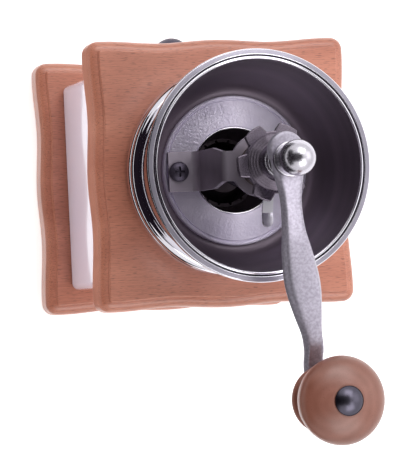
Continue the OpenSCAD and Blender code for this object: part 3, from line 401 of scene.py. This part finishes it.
# Nickel plate, buffed: a mirror with soft edges to what it shows
buffed = metal("buffed_nickel_plate", "#cdc9d2", "#c2bdc8", (0.24, 0.28), (0.4, 0.4, 0.4), 0.02)
# The rim's flat, turned on a lathe and plated: a satin ring, brightest towards the lamps
turned_rim = metal("turned_plated_rim", "#a8a3b1", "#9b96a4", (0.3, 0.4), (0.5, 0.5, 0.5), 0.1, 0.5,
                   turned=0.9)
# Spun sheet, dull plated on the inside: reflections blur, and soft colour rings up its height are partly the
# tool's rings and partly painted sheen
spun = metal("spun_plated_steel", "#786a78", "#655966", (0.3, 0.34), (6, 6, 2), 0.0, 0.6, (900, 900, 9))
# Zinc, die-cast, faced on a lathe and blasted: light fans out on two sides of the hole.
# The grit is drawn at 1 mm, coarser than it is, so that it shows
faced = metal("faced_cast_zinc", "#f0e8fa", "#ddd4ea", (0.44, 0.54), (1, 1, 1), 1.0, 0.1, turned=0.95)
# Aluminium, sand cast and tumbled: matte, with a fine even grit
tumbled = metal("tumbled_cast_aluminium", "#bcb6c4", "#a49dac", (0.34, 0.44), (0.35, 0.35, 0.35), 0.5, 0.3,
                (1, 1, 1))
# Sheet steel, cold rolled with a dark satin finish: a soft sheen along the strip
satin = metal("dark_satin_steel", "#a69ca9", "#948a97", (0.3, 0.4), (6, 0.15, 0.15), 0.1, 0.4)
# Steel with a black oxide skin: dark, with dull highlights. On the spring and its seat the dark is painted
# shade, standing in for the shade deep in the throat
blacked = metal("black_oxide_steel", "#504958", "#443e4b", (0.36, 0.46), (0.3, 0.3, 0.3), 0.08, 0.2)
# Steel, polished and blued: dark, with one clear highlight
blued = metal("polished_blued_steel", "#5f5b68", "#53505c", (0.27, 0.33), (0.3, 0.3, 0.3), 0.03)
# Bar steel, machined and dull plated: grey, with soft reflections
machined = metal("machined_dull_steel", "#7f7682", "#726975", (0.25, 0.31), (0.3, 0.3, 0.3), 0.04)
# Spring strip, rolled bright: fairly clear reflections, drawn out along the strip
rolled = metal("rolled_spring_steel", "#dcd8e2", "#d0ccd6", (0.16, 0.22), (3, 0.2, 0.2), 0.03)
# The same strip, painted near white and matte on the tongue's slope: a painted highlight in place of the
# lamps' reflection there
slope_highlight = metal("spring_steel_painted_highlight", "#fbf8ff", "#f4f0fa", (0.45, 0.55), (0.3, 0.3, 0.3), 0.1, 0.95)
# Steel, zinc plated: bright, with slightly blurred reflections
zinc = metal("zinc_plated_steel", "#d4d1da", "#c6c2cc", (0.22, 0.3), (1.5, 0.3, 0.3), 0.03, 0.15)
# Iron, cast, hardened where it grinds, and oiled: dark and dull
hardened = metal("dark_cast_iron", "#42373f", "#382e36", (0.45, 0.6), (0.4, 0.4, 0.4), 0.3, 0.5)
# Bronze, sintered and soaked in oil: brown and dull
bronze = metal("oiled_sintered_bronze", "#5b4d46", "#4d413c", (0.4, 0.5), (0.3, 0.3, 0.3), 0.1, 0.2)
# Brass, turned: yellow, with fine tool marks
turned_brass = metal("turned_brass", "#b8974f", "#a88844", (0.2, 0.32), (2, 0.2, 0.2), 0.08)


# Boards

BOARD_CORNER = 5.0
BOARD_EDGE = 3.8
BOARD_STEP = 1.2
STEP_SLOPE, STEP_ROUND = 0.45, 0.3
# Each side dips twice, by this depth, and is out again this far from the board's corner
WAVE_DEPTH, WAVE_END = 1.15, 7.5
SIDE_STEPS = 40
CORNER_STEPS = 8
THROAT_RADIUS = 19.6
INSERT_RADIUS = 3.6
COUNTERBORE_RADIUS, COUNTERBORE_DEPTH = 4.1, 4.0


def board_outline(half):
    """One side after another of the wavy square, each followed by its rounded corner."""
    wave = half - WAVE_END
    reach = half - BOARD_CORNER

    def dip(s):
        return WAVE_DEPTH / 2 * (1 - math.cos(math.tau * s / wave))

    side = [(half - dip(s), s) for s in
            (reach * (2 * i / SIDE_STEPS - 1) for i in range(SIDE_STEPS + 1))]
    side += arc(reach, reach, BOARD_CORNER - dip(reach), 0, 90, CORNER_STEPS)[1:-1]
    turns = [(1, 0), (0, 1), (-1, 0), (0, -1)]
    return [(x * c - y * s, x * s + y * c) for c, s in turns for x, y in side]


def wavy_board(node):
    """A board with a rounded edge all round and a small step up to its top face."""
    low, high = span(node)
    shoulder = high.z - BOARD_STEP
    piece = filled(node + "_beech", [(x, y, low.z) for x, y in board_outline(high.x)])
    bpy.ops.mesh.extrude_region_move(TRANSFORM_OT_translate={"value": (0, 0, (shoulder - low.z) * MM)})
    bpy.ops.mesh.select_all(action="SELECT")
    bpy.ops.mesh.normals_make_consistent(inside=False)
    for level in (low.z, shoulder):
        pick(piece, lambda x, y, z: abs(z - level) < NEAR)
        bpy.ops.mesh.bevel(offset=BOARD_EDGE * MM, segments=8, affect="EDGES")
    pick(piece, lambda x, y, z: abs(z - shoulder) < NEAR)
    bpy.ops.mesh.inset(thickness=STEP_SLOPE * MM, depth=BOARD_STEP * MM)
    pick(piece, lambda x, y, z: abs(z - high.z) < NEAR)
    bpy.ops.mesh.bevel(offset=STEP_ROUND * MM, segments=2, affect="EDGES")
    tidy_mesh()
    return piece


def tie_places():
    """Where the four tie screws stand, from the box round their inserts."""
    low, high = span("tie_inserts")
    return [(x, y) for x in (low.x + INSERT_RADIUS, high.x - INSERT_RADIUS)
            for y in (low.y + INSERT_RADIUS, high.y - INSERT_RADIUS)]


top_board = wavy_board("top_board")
top_low, top_high = span("top_board")
drill(top_board, 0, 0, top_low.z - OVERCUT, top_high.z + OVERCUT, THROAT_RADIUS, sides=96)
fit(top_board, board_beech, "top_board", flat=True)

base_board = wavy_board("base_board")
for x, y in tie_places():
    drill(base_board, x, y, -OVERCUT, COUNTERBORE_DEPTH, COUNTERBORE_RADIUS)
fit(base_board, board_beech, "base_board", flat=True)


# Ceramic body

BODY_CORNER, BODY_EDGE = 3.0, 1.0
BODY_WALL = 6.0
HOLLOW_CORNER = 1.0
OPENING_EDGE = 0.7
DRAWER_GAP = 0.4


def rounded_block(name, low, high, corner, edge):
    """A block with rounded upright corners and, where the edge isn't 0, rounded edges above and below."""
    piece = block(name, low, high)
    for side in piece.data.edges:
        a, b = (piece.data.vertices[i].co for i in side.vertices)
        side.select = abs(a.z - b.z) > MM
    bpy.ops.object.mode_set(mode="EDIT")
    bpy.ops.mesh.select_mode(type="EDGE")
    bpy.ops.mesh.bevel(offset=corner * MM, segments=12, affect="EDGES")
    if edge:
        for level in (low.z, high.z):
            pick(piece, lambda x, y, z: abs(z - level) < NEAR)
            bpy.ops.mesh.bevel(offset=edge * MM, segments=6, affect="EDGES")
    tidy_mesh()
    return piece


body_low, body_high = span("ceramic_body")
front_low, front_high = span("drawer_front")
body = rounded_block("ceramic_body_glazed", body_low, body_high, BODY_CORNER, BODY_EDGE)
wall = Vector((BODY_WALL, BODY_WALL, -OVERCUT))
cut(body, rounded_block("hollow", body_low + wall, body_high - wall, HOLLOW_CORNER, 0))
gap = Vector((DRAWER_GAP, OVERCUT, DRAWER_GAP))
cut(body, block("opening", front_low - gap, front_high + gap))
break_edges(body, OPENING_EDGE, segments=3)
fit(body, stoneware, "ceramic_body", flat=True)


# Drawer

FRONT_EDGE = 1.2
BARE_EDGE = 0.5

front = block("drawer_front_beech", front_low, front_high)
break_edges(front, FRONT_EDGE, segments=4)
fit(front, board_beech, "drawer_front", flat=True)
fit(copy_of("drawer_box", "drawer_box_beech", BARE_EDGE), bare_beech, "drawer_box", flat=True)
fit(copy_of("drawer_runners", "drawer_runners_beech", BARE_EDGE), bare_beech, "drawer_runners", flat=True)

pull_foot = (0, front_low.y, (front_low.z + front_high.z) / 2)
pull_outline = ([(0, 0), (5.6, 0), (5.6, 0.9)] + arc(5.3, 0.9, 0.3, 0, 90, 4)
                + arc(4.5, 1.7, 0.5, 270, 180, 4) + [(4, 6.6), (4.35, 6.95), (7.5, 6.95)]
                + arc(7.5, 7.45, 0.5, 270, 345, 4) + arc(0, 9.5, 8.5, -13, 90, 28))
fit(lathe("drawer_knob_chrome", pull_outline, pull_foot, (0, -1, 0), 96), blacked, "drawer_knob")


# Hopper

HOPPER_STEPS = 192
# The rim's flat: from this radius out, and from this height above the shell's foot
FLAT_INNER, FLAT_LEVEL = 43.9, 46.12

shell_outline = ([(THROAT_RADIUS, 0), (39, 0)] + arc(39, 3.4, 3.4, -90, 66, 22)
                 + arc(39.6, 9.2, 2.8, -74, 77, 18)
                 + [(40.15, 12.2), (40.5, 16), (41.1, 21), (41.8, 27), (42.6, 33), (43.5, 39), (44.3, 43)]
                 + arc(45.3, 44.5, 0.7, -80, 0, 8) + arc(45.3, 45.5, 0.7, 0, 78, 8)
                 + arc(43.9, 46.2, 0.3, 78, 180, 5) + [(43.6, 43.9), (43, 43), (39.2, 11.6), (36, 1)]
                 + [(THROAT_RADIUS, 0.8), (THROAT_RADIUS, 0)])
shell_foot = foot_of("hopper_shell")
shell = lathe("hopper_shell_chrome", shell_outline, shell_foot, steps=HOPPER_STEPS)
fit(shell, plated, "hopper_shell")
reface(shell, turned_rim,
       lambda x, y, z: z > shell_foot.z + FLAT_LEVEL and math.hypot(x, y) > FLAT_INNER)

BOWL_SHEET = 0.8
BOWL_BORE = 17.8
BOWL_FLOOR = 30.6
BOWL_SWEEP, BOWL_RISE = 11.45, 33.75
BOWL_LIP = BOWL_SHEET + BOWL_RISE
LIP_MIDDLE = BOWL_FLOOR + BOWL_SWEEP + BOWL_SHEET / 2
LIP_RADIUS, LIP_LIFT = 0.65, 0.3
# The bright plate starts this far up the lip
LIP_BRIGHT = 0.05


def bowl_wall(depth, steps=28):
    """The bowl's quarter ellipse, a depth below its inner face."""
    angles = [math.pi / 2 * i / steps for i in range(steps + 1)]
    return [(BOWL_FLOOR + (BOWL_SWEEP + depth) * math.sin(a), BOWL_LIP - (BOWL_RISE + depth) * math.cos(a))
            for a in angles]


bowl_outline = ([(BOWL_BORE, BOWL_SHEET)] + bowl_wall(0)
                + arc(LIP_MIDDLE, BOWL_LIP + LIP_LIFT, LIP_RADIUS, 207, -27, 14)
                + bowl_wall(BOWL_SHEET)[::-1] + [(BOWL_BORE, 0), (BOWL_BORE, BOWL_SHEET)])
bowl_foot = foot_of("hopper_bowl")
bowl = lathe("hopper_bowl_chrome", bowl_outline, bowl_foot, steps=HOPPER_STEPS)
fit(bowl, spun, "hopper_bowl")
reface(bowl, plated, lambda x, y, z: z > bowl_foot.z + BOWL_LIP + LIP_BRIGHT)

HOLE_RADIUS = 17.0
# The hole's rounded lip, which is left bright, ends at this radius
HOLE_LIP = 17.83

plate_outline = ([(HOLE_RADIUS, 0), (HOLE_RADIUS, 1.8)] + arc(17.4, 1.8, 0.4, 180, 20, 10)
                 + [(17.85, 1.8), (18.05, 2.15), (28.25, 1.7), (28.4, 1.5), (28.4, 1.2), (28.9, 1.2)]
                 + arc(29.6, 1.5, 0.7, 190, 0, 12) + [(30.3, 0), (HOLE_RADIUS, 0)])
plate = lathe("hopper_plate_cast", plate_outline, foot_of("hopper_plate"))
fit(plate, faced, "hopper_plate")
reface(plate, plated, lambda x, y, z: math.hypot(x, y) < HOLE_LIP)


# Bracket, index plate and spring

BRACKET_EDGE, SCREW_EDGE, INDEX_EDGE = 0.3, 0.2, 0.15
# The tongue's slope, as far as it carries the painted highlight
SLOPE_START, SLOPE_END = 12.0, 19.3

fit(copy_of("bracket", "bracket_sheet", BRACKET_EDGE), satin, "bracket", flat=True)
fit(copy_of("bracket_screws", "bracket_screws_steel", SCREW_EDGE), blacked, "bracket_screws", flat=True)
index = copy_of("index_plate", "index_plate_steel", INDEX_EDGE)
fit(index, rolled, "index_plate", flat=True)
# Painted highlight: the slope is made pale and matte in place of the lamps' reflection
reface(index, slope_highlight, lambda x, y, z: SLOPE_START < y < SLOPE_END)

SPRING_TURNS, TURN_STEPS = 7, 40
WIRE_RADIUS, WIRE_SIDES = 0.7, 14
spring_low, spring_high = span("shaft_spring")
spring_pitch = (spring_high.z - spring_low.z - 2 * WIRE_RADIUS) / SPRING_TURNS
start_clean()
bpy.ops.mesh.primitive_circle_add(
    vertices=WIRE_SIDES, radius=WIRE_RADIUS * MM, rotation=(math.pi / 2, 0, 0),
    location=((spring_high.x - WIRE_RADIUS) * MM, 0, (spring_low.z + WIRE_RADIUS) * MM))
spring = bpy.context.object
spring.name = spring.data.name = "shaft_spring_wire"
bpy.ops.object.transform_apply(location=True, rotation=True, scale=True)
finish_with(spring, "SCREW", screw_offset=spring_pitch * MM, iterations=SPRING_TURNS, steps=TURN_STEPS)
bpy.ops.object.mode_set(mode="EDIT")
bpy.ops.mesh.select_all(action="SELECT")
bpy.ops.mesh.fill_holes(sides=WIRE_SIDES)
tidy_mesh()
# Painted shade: the spring gets the dark steel so that it stays as dark as the throat it sits in
fit(spring, blacked, "shaft_spring")


# Star nut, with heights above its foot

SHAFT_BORE = 4.1
STAR_TEETH = 6
STAR_TURN = math.radians(5.5)
STAR_ROOT, STAR_TIP = 12.1, 15.3
ROOT_HALF, TIP_HALF = 4.45, 3.85
STAR_LIFT, STAR_THICK = 8.0, 2.0
STAR_TOP = STAR_LIFT + STAR_THICK
STAR_EDGE = 0.4
HUB_RADIUS, HUB_EDGE = 8.0, 0.3
# The boss is let into the star by this much
BOSS_SINK = 1.0
BOSS_WIDE, BOSS_SLIM = 11.1, 7.8
BOSS_RIBS = 4
RIB_SWELL, RIB_STEPS = 0.03, 8
nut_low, nut_high = span("star_nut")
boss_top = nut_high.z - nut_low.z


def star_outline(level):
    """One tooth and one gap after another round the star."""
    root = math.degrees(math.asin(ROOT_HALF / STAR_ROOT))
    tip = math.degrees(math.asin(TIP_HALF / STAR_TIP))
    tooth = [(STAR_ROOT, -ROOT_HALF)] + arc(0, 0, STAR_TIP, -tip, tip, 6) + [(STAR_ROOT, ROOT_HALF)]
    tooth += arc(0, 0, STAR_ROOT, root, 360 / STAR_TEETH - root, 4)
    turns = [STAR_TURN + math.tau * i / STAR_TEETH for i in range(STAR_TEETH)]
    return [(x * math.cos(t) - y * math.sin(t), x * math.sin(t) + y * math.cos(t), level)
            for t in turns for x, y in tooth]


def boss_side():
    """Shallow ribs along the boss's slope, from the star up."""
    run, rise = BOSS_SLIM - BOSS_WIDE, boss_top - STAR_TOP
    out = Vector((rise, -run)).normalized() * RIB_SWELL
    steps = [i / (RIB_STEPS * BOSS_RIBS) for i in range(RIB_STEPS * BOSS_RIBS + 1)]
    swells = [abs(math.sin(math.pi * BOSS_RIBS * t)) for t in steps]
    return [(BOSS_WIDE + run * t + out.x * s, STAR_TOP + rise * t + out.y * s)
            for t, s in zip(steps, swells)]


star = filled("star_nut_chrome", star_outline(nut_low.z + STAR_LIFT))
bpy.ops.mesh.extrude_region_move(TRANSFORM_OT_translate={"value": (0, 0, STAR_THICK * MM)})
tidy_mesh()
break_edges(star, STAR_EDGE, segments=3)
hub_outline = ([(SHAFT_BORE, 0), (HUB_RADIUS - HUB_EDGE, 0), (HUB_RADIUS, HUB_EDGE)]
               + [(HUB_RADIUS, STAR_TOP - BOSS_SINK), (BOSS_WIDE, STAR_TOP - BOSS_SINK)] + boss_side()
               + [(SHAFT_BORE, boss_top), (SHAFT_BORE, 0)])
hub = lathe("hub", hub_outline, foot_of("star_nut"))
fit(joined(star, hub), machined, "star_nut", flat=True)


# Spacer collar and ball nut

COLLAR_CORE, COLLAR_BEAD = 5.15, 1.75
collar_outline = ([(SHAFT_BORE, 0), (COLLAR_CORE, 0)]
                  + arc(COLLAR_CORE, COLLAR_BEAD, COLLAR_BEAD, -90, 80, 14)
                  + arc(COLLAR_CORE, 3 * COLLAR_BEAD, COLLAR_BEAD, -80, 90, 14)
                  + [(SHAFT_BORE, 4 * COLLAR_BEAD), (SHAFT_BORE, 0)])
collar = lathe("spacer_collar_chrome", collar_outline, foot_of("spacer_collar"), steps=96)
fit(collar, buffed, "spacer_collar")

ball_outline = ([(0, 0), (6.3, 0)] + arc(6.3, 0.6, 0.6, -90, 0, 5) + arc(6.3, 2.2, 0.6, 0, 90, 5)
                + [(5.6, 2.85), (5.5, 3), (5.5, 4.9)] + arc(0, 9.6, 6.9, -37, 78.5, 30)
                + [(1.3, 16.4), (1.3, 16.6)] + arc(1, 16.6, 0.3, 0, 90, 4) + [(0, 16.9)])
fit(lathe("ball_nut_chrome", ball_outline, foot_of("acorn_nut"), steps=96), buffed, "acorn_nut")


# Crank

CRANK_REACH = 93.2
CRANK_TURN = math.radians(8.75)
HEAD_BACK, HEAD_RADIUS = 3.8, 7.0
END_RADIUS = 6.0
PAD_THICK, PAD_EDGE = 4.5, 1.0
# Along the arm: distance from the shaft, half width, fall of its top below the head's top, thickness
ARM = [(-HEAD_BACK, 6.6, 0.1, 4.3), (6, 6.0, 0.6, 4.5), (12, 4.7, 2.4, 4.9), (18.6, 4.2, 5.0, 5.0),
       (27, 4.8, 7.5, 4.8), (34, 6.0, 8.7, 4.7), (44.7, 7.2, 9.3, 4.6), (52.2, 6.9, 9.4, 4.6),
       (60.1, 5.6, 9.7, 4.6), (67.1, 4.2, 10.0, 4.6), (73.2, 4.0, 11.1, 4.6), (78, 4.0, 14.4, 4.6),
       (82, 4.0, 16.2, 4.4), (CRANK_REACH, 4.6, 16.5, 4.3)]
ARM_STEPS = 6
# Half of the arm's section, from the middle of its top to the middle of its underside, in shares of its
# half width and thickness
SECTION = [(0, 0.5), (0.35, 0.5), (0.6, 0.49), (0.7, 0.465), (0.76, 0.42), (0.8, 0.36), (0.92, 0.05),
           (1, -0.2), (0.98, -0.34), (0.9, -0.44), (0.72, -0.49), (0.4, -0.5), (0, -0.5)]
crank_low, crank_high = span("crank_arm")


def between(stations, steps):
    """Smooth stations through the given ones."""
    last = len(stations) - 1
    for i in range(last):
        four = [stations[min(max(k, 0), last)] for k in (i - 1, i, i + 1, i + 2)]
        for step in range(steps):
            t = step / steps
            yield [b + t / 2 * ((c - a) + t * ((2 * a - 5 * b + 4 * c - d) + t * (3 * (b - c) + d - a)))
                   for a, b, c, d in zip(*four)]
    yield list(stations[last])


def arm_loft(name):
    """The arm along +Y: its section drawn at the shaft, then extruded and resized station by station."""
    stations = [(y, half, crank_high.z - fall - thick / 2, thick)
                for y, half, fall, thick in between(ARM, ARM_STEPS)]
    y, half, middle, thick = stations[0]
    ring = SECTION + [(-u, v) for u, v in SECTION[-2:0:-1]]
    piece = filled(name, [(u * half, y, middle + v * thick) for u, v in ring])
    for here, there in zip(stations, stations[1:]):
        y, half, middle, thick = there
        bpy.ops.mesh.extrude_region_move(
            TRANSFORM_OT_translate={"value": (0, (y - here[0]) * MM, (middle - here[2]) * MM)})
        bpy.ops.transform.resize(value=(half / here[1], 1, thick / here[3]),
                                 center_override=(0, y * MM, middle * MM))
    tidy_mesh()
    return piece


def round_pad(name, at, radius, level):
    """A round pad with rounded edges on the arm's line, from a level up."""
    core = radius - PAD_EDGE
    outline = ([(0, 0)] + arc(core, PAD_EDGE, PAD_EDGE, -90, 0, 5)
               + arc(core, PAD_THICK - PAD_EDGE, PAD_EDGE, 0, 90, 5) + [(0, PAD_THICK)])
    return lathe(name, outline, (0, at, level), steps=72)


crank = joined(arm_loft("crank_arm_cast"),
               round_pad("head", -HEAD_BACK, HEAD_RADIUS, crank_high.z - PAD_THICK),
               round_pad("end", CRANK_REACH, END_RADIUS, crank_low.z))
make_active(crank)
bpy.ops.object.mode_set(mode="EDIT")
bpy.ops.mesh.select_all(action="SELECT")
bpy.ops.transform.rotate(value=-CRANK_TURN, orient_axis="Z", center_override=(0, 0, 0))
bpy.ops.object.mode_set(mode="OBJECT")
fit(crank, tumbled, "crank_arm")


# Knob, rivet and washer, on the knob's axis

KNOB_X, KNOB_Y = -CRANK_REACH * math.sin(CRANK_TURN), CRANK_REACH * math.cos(CRANK_TURN)
KNOB_BORE = 3.05
KNOB_RADIUS, KNOB_WIDEST = 17.0, 21.5
NECK_RADIUS, NECK_TOP = 9.6, 4.8
CROWN_RADIUS, CROWN_TOP = 6.5, 29.0
# How full the knob is below and above its widest level
LOWER_POWER, UPPER_POWER = 1.6, 2
SWELL_STEPS = 20


def swell(height):
    """Radius of the knob's round body at a height above its foot."""
    up = height - KNOB_WIDEST
    if up > 0:
        end, run, power = CROWN_RADIUS, CROWN_TOP - KNOB_WIDEST, UPPER_POWER
    else:
        end, run, power = NECK_RADIUS, KNOB_WIDEST - NECK_TOP, LOWER_POWER
    return KNOB_RADIUS * math.sqrt(1 - (1 - (end / KNOB_RADIUS) ** 2) * abs(up / run) ** power)


shares = [i / SWELL_STEPS for i in range(SWELL_STEPS + 1)]
knob_rise = [NECK_TOP + (KNOB_WIDEST - NECK_TOP) * s for s in shares]
knob_rise += [KNOB_WIDEST + (CROWN_TOP - KNOB_WIDEST) * math.sin(math.pi / 2 * s) for s in shares[1:]]
knob_outline = ([(KNOB_BORE, 0), (11.5, 0)] + arc(11.5, 1.7, 1.7, -90, 78, 14)
                + [(10.8, 3.45), (9.9, 3.7), (NECK_RADIUS, 4.1), (NECK_RADIUS, 4.5)]
                + [(swell(h), h) for h in knob_rise] + [(KNOB_BORE, CROWN_TOP), (KNOB_BORE, 0)])
fit(lathe("knob_beech_turned", knob_outline, foot_of("knob", KNOB_X, KNOB_Y)), knob_beech, "knob")

rivet_outline = ([(0, 0), (4.8, 0), (4.8, 2), (3, 2), (3, 36.8), (5.5, 36.8)]
                 + arc(5.5, 37, 0.2, -90, 30, 4) + arc(0, 31.23, 7.97, 46, 90, 16))
rivet = lathe("knob_rivet_steel", rivet_outline, foot_of("knob_rivet", KNOB_X, KNOB_Y), steps=96)
fit(rivet, blued, "knob_rivet")

washer_outline = ([(KNOB_BORE, 0), (6.9, 0), (7, 0.1), (7, 0.7), (6.9, 0.8)]
                  + [(KNOB_BORE, 0.8), (KNOB_BORE, 0)])
washer = lathe("knob_washer_zinc", washer_outline, foot_of("knob_washer", KNOB_X, KNOB_Y), steps=72)
fit(washer, zinc, "knob_washer")


# Solids that keep their own shape

paint(zinc, "shaft", "tie_screws", "drawer_knob_screw", "burr_washer", "burr_nut", "bridge_screws")
# Painted shade: the spring's seat gets the dark steel so that it stays as dark as the throat under the
# bracket
paint(blacked, "spring_seat")
paint(hardened, "burr_housing", "lower_bridge", "outer_burr", "inner_burr")
paint(bronze, "lower_bush", "upper_bush")
paint(turned_brass, "tie_inserts")
paint(bare_beech, "drawer_floor")


# Camera, fitted to the photograph's frame of 409 by 461 pixels, with its place in mm

CAMERA_AT = Vector((328.3, 53.5, 1128.9))
LOOK = Vector((-0.29631, -0.02803, -0.95468))
IMAGE_UP = Vector((-0.03786, -0.99844, 0.04107))
FOCAL_PIXELS = 2639.2
FRAME_HEIGHT = 461
SENSOR = 36.0
FARTHEST = 20.0


def place_camera():
    """Sets up the camera from where it stands, where it looks and which way is up in the image."""
    camera = bpy.data.objects.new("camera", bpy.data.cameras.new("camera"))
    bpy.context.scene.collection.objects.link(camera)
    camera.data.sensor_fit = "AUTO"
    camera.data.sensor_width = SENSOR
    camera.data.lens = FOCAL_PIXELS / FRAME_HEIGHT * SENSOR
    camera.data.clip_end = FARTHEST
    right = LOOK.cross(IMAGE_UP).normalized()
    turn = camera.matrix_world.copy()
    for row in range(3):
        turn[row][0], turn[row][1], turn[row][2] = right[row], IMAGE_UP[row], -LOOK[row]
        turn[row][3] = CAMERA_AT[row] * MM
    camera.matrix_world = turn
    bpy.context.scene.camera = camera


place_camera()


# Studio, in metres and watts

# Name, place, size and power of each softbox
SOFTBOXES = [("softbox_back", (-0.3, -1, 1.5), 1.2, 12), ("softbox_front", (-0.4, 1, 1.5), 1.2, 10),
             ("softbox_right", (-0.95, -0.15, 0.9), 0.8, 1.5)]
FILL, WHITE = 0.35, 1.0
FLOOR_SIZE = 6.0
PAPER = (0.9, 0.9, 0.9, 1)
# The floor's glow, as the lens and reflections see it and as it lights the object
GLOW_SEEN, GLOW_CAST = 0.7, 0.45
PANEL_AT, PANEL_SIZE, PANEL_WATTS = Vector((0.48, 0, 0.004)), 0.8, 2.0
GRINDER = Vector((0, 0, 0.1))
BLACK = "#1d171e"
# The dark card's arch, with its angles in degrees from straight up
CARD_REACH, CARD_CENTRE = 1.4, 0.15
CARD_START, CARD_BEND, CARD_END = -14, 50, 90
CARD_HALF, WALL_HALF = 0.75, 1.4
# The mat on the floor is a painted dark reflection: only metal and gloss see it, and the lens sees white
# paper there
MAT_START, MAT_END, MAT_LEVEL = 0.06, 0.9, 0.002


def softbox(name, at, size, watts, aim=GRINDER):
    """A square softbox that faces the grinder, or another point."""
    lamp = bpy.data.lights.new(name, "AREA")
    lamp.shape = "SQUARE"
    lamp.size = size
    lamp.energy = watts
    holder = bpy.data.objects.new(name, lamp)
    bpy.context.scene.collection.objects.link(holder)
    holder.location = at
    holder.rotation_euler = (aim - Vector(at)).to_track_quat("-Z", "Y").to_euler()
    return holder


def for_lens(tree, seen, cast):
    """Mixes what the lens, metal and gloss see with what lights the object."""
    path = add(tree, "ShaderNodeLightPath").outputs
    first = add(tree, "ShaderNodeMath", {0: path["Is Camera Ray"], 1: path["Is Glossy Ray"]},
                operation="ADD")
    either = add(tree, "ShaderNodeMath", {0: first, 1: path["Is Transmission Ray"]},
                 operation="ADD", use_clamp=True)
    return add(tree, "ShaderNodeMixShader", {0: either, 1: cast, 2: seen})


def light_studio():
    """Softboxes and a white room, with a panel on the floor that lights the side towards the lens."""
    for box in SOFTBOXES:
        softbox(*box)
    panel = softbox("light_panel", PANEL_AT, PANEL_SIZE, PANEL_WATTS, PANEL_AT + Vector((0, 0, 1)))
    panel.visible_camera = panel.visible_glossy = False
    world = bpy.data.worlds.new("studio")
    bpy.context.scene.world = world
    world.use_nodes = True
    tree = world.node_tree
    tree.nodes.clear()
    seen, cast = (add(tree, "ShaderNodeBackground", {"Color": (1, 1, 1, 1), "Strength": strength})
                  for strength in (WHITE, FILL))
    add(tree, "ShaderNodeOutputWorld", {"Surface": for_lens(tree, seen, cast)})


def lay_floor():
    """A sheet of white paper that glows a little, so that it is white and still takes the shadow."""
    start_clean()
    bpy.ops.mesh.primitive_plane_add(size=FLOOR_SIZE)
    floor = bpy.context.object
    floor.name = "floor"
    material, tree = blank_material("white_paper")
    paper = add(tree, "ShaderNodeBsdfDiffuse", {"Color": PAPER})
    glows = [add(tree, "ShaderNodeEmission", {"Color": (1, 1, 1, 1), "Strength": strength})
             for strength in (GLOW_SEEN, GLOW_CAST)]
    seen, cast = (add(tree, "ShaderNodeAddShader", {0: paper, 1: glow}) for glow in glows)
    add(tree, "ShaderNodeOutputMaterial", {"Surface": for_lens(tree, seen, cast)})
    floor.data.materials.append(material)


def dark_sheet(name, half, ends):
    """A black sheet through points of its edge at -Y, which shows in metal and gloss alone."""
    sheet = draw_chain(name, [(x / MM, -half / MM, z / MM) for x, z in ends])
    bpy.ops.mesh.select_all(action="SELECT")
    bpy.ops.mesh.extrude_region_move(TRANSFORM_OT_translate={"value": (0, 2 * half, 0)})
    bpy.ops.object.mode_set(mode="OBJECT")
    material, tree = blank_material(name)
    black = add(tree, "ShaderNodeEmission", {"Color": linear(BLACK), "Strength": 1.0})
    add(tree, "ShaderNodeOutputMaterial", {"Surface": black})
    sheet.data.materials.append(material)
    sheet.visible_camera = sheet.visible_shadow = sheet.visible_transmission = sheet.visible_diffuse = False
    return sheet


def hang_dark_card():
    """A black card bent over the grinder along X, a wider wall that goes on from it, and a mat on the floor
    that paints dark reflections: metal and gloss see it black where the lens sees white paper.

    The wall also keeps the room's fill light off."""
    angles = [math.radians(turn) for turn in range(CARD_START, CARD_END + 1)]
    arch = [(CARD_REACH * math.sin(a), CARD_CENTRE + CARD_REACH * math.cos(a)) for a in angles]
    bend = CARD_BEND - CARD_START
    dark_sheet("dark_card", CARD_HALF, arch[:bend + 1])
    dark_sheet("dark_wall", WALL_HALF, arch[bend:]).visible_diffuse = True
    # Painted reflection: the mat darkens what metal and gloss show of the floor
    dark_sheet("painted_reflection_mat", WALL_HALF, [(MAT_END, MAT_LEVEL), (MAT_START, MAT_LEVEL)])


light_studio()
lay_floor()
hang_dark_card()
bpy.context.scene.view_settings.view_transform = "Standard"
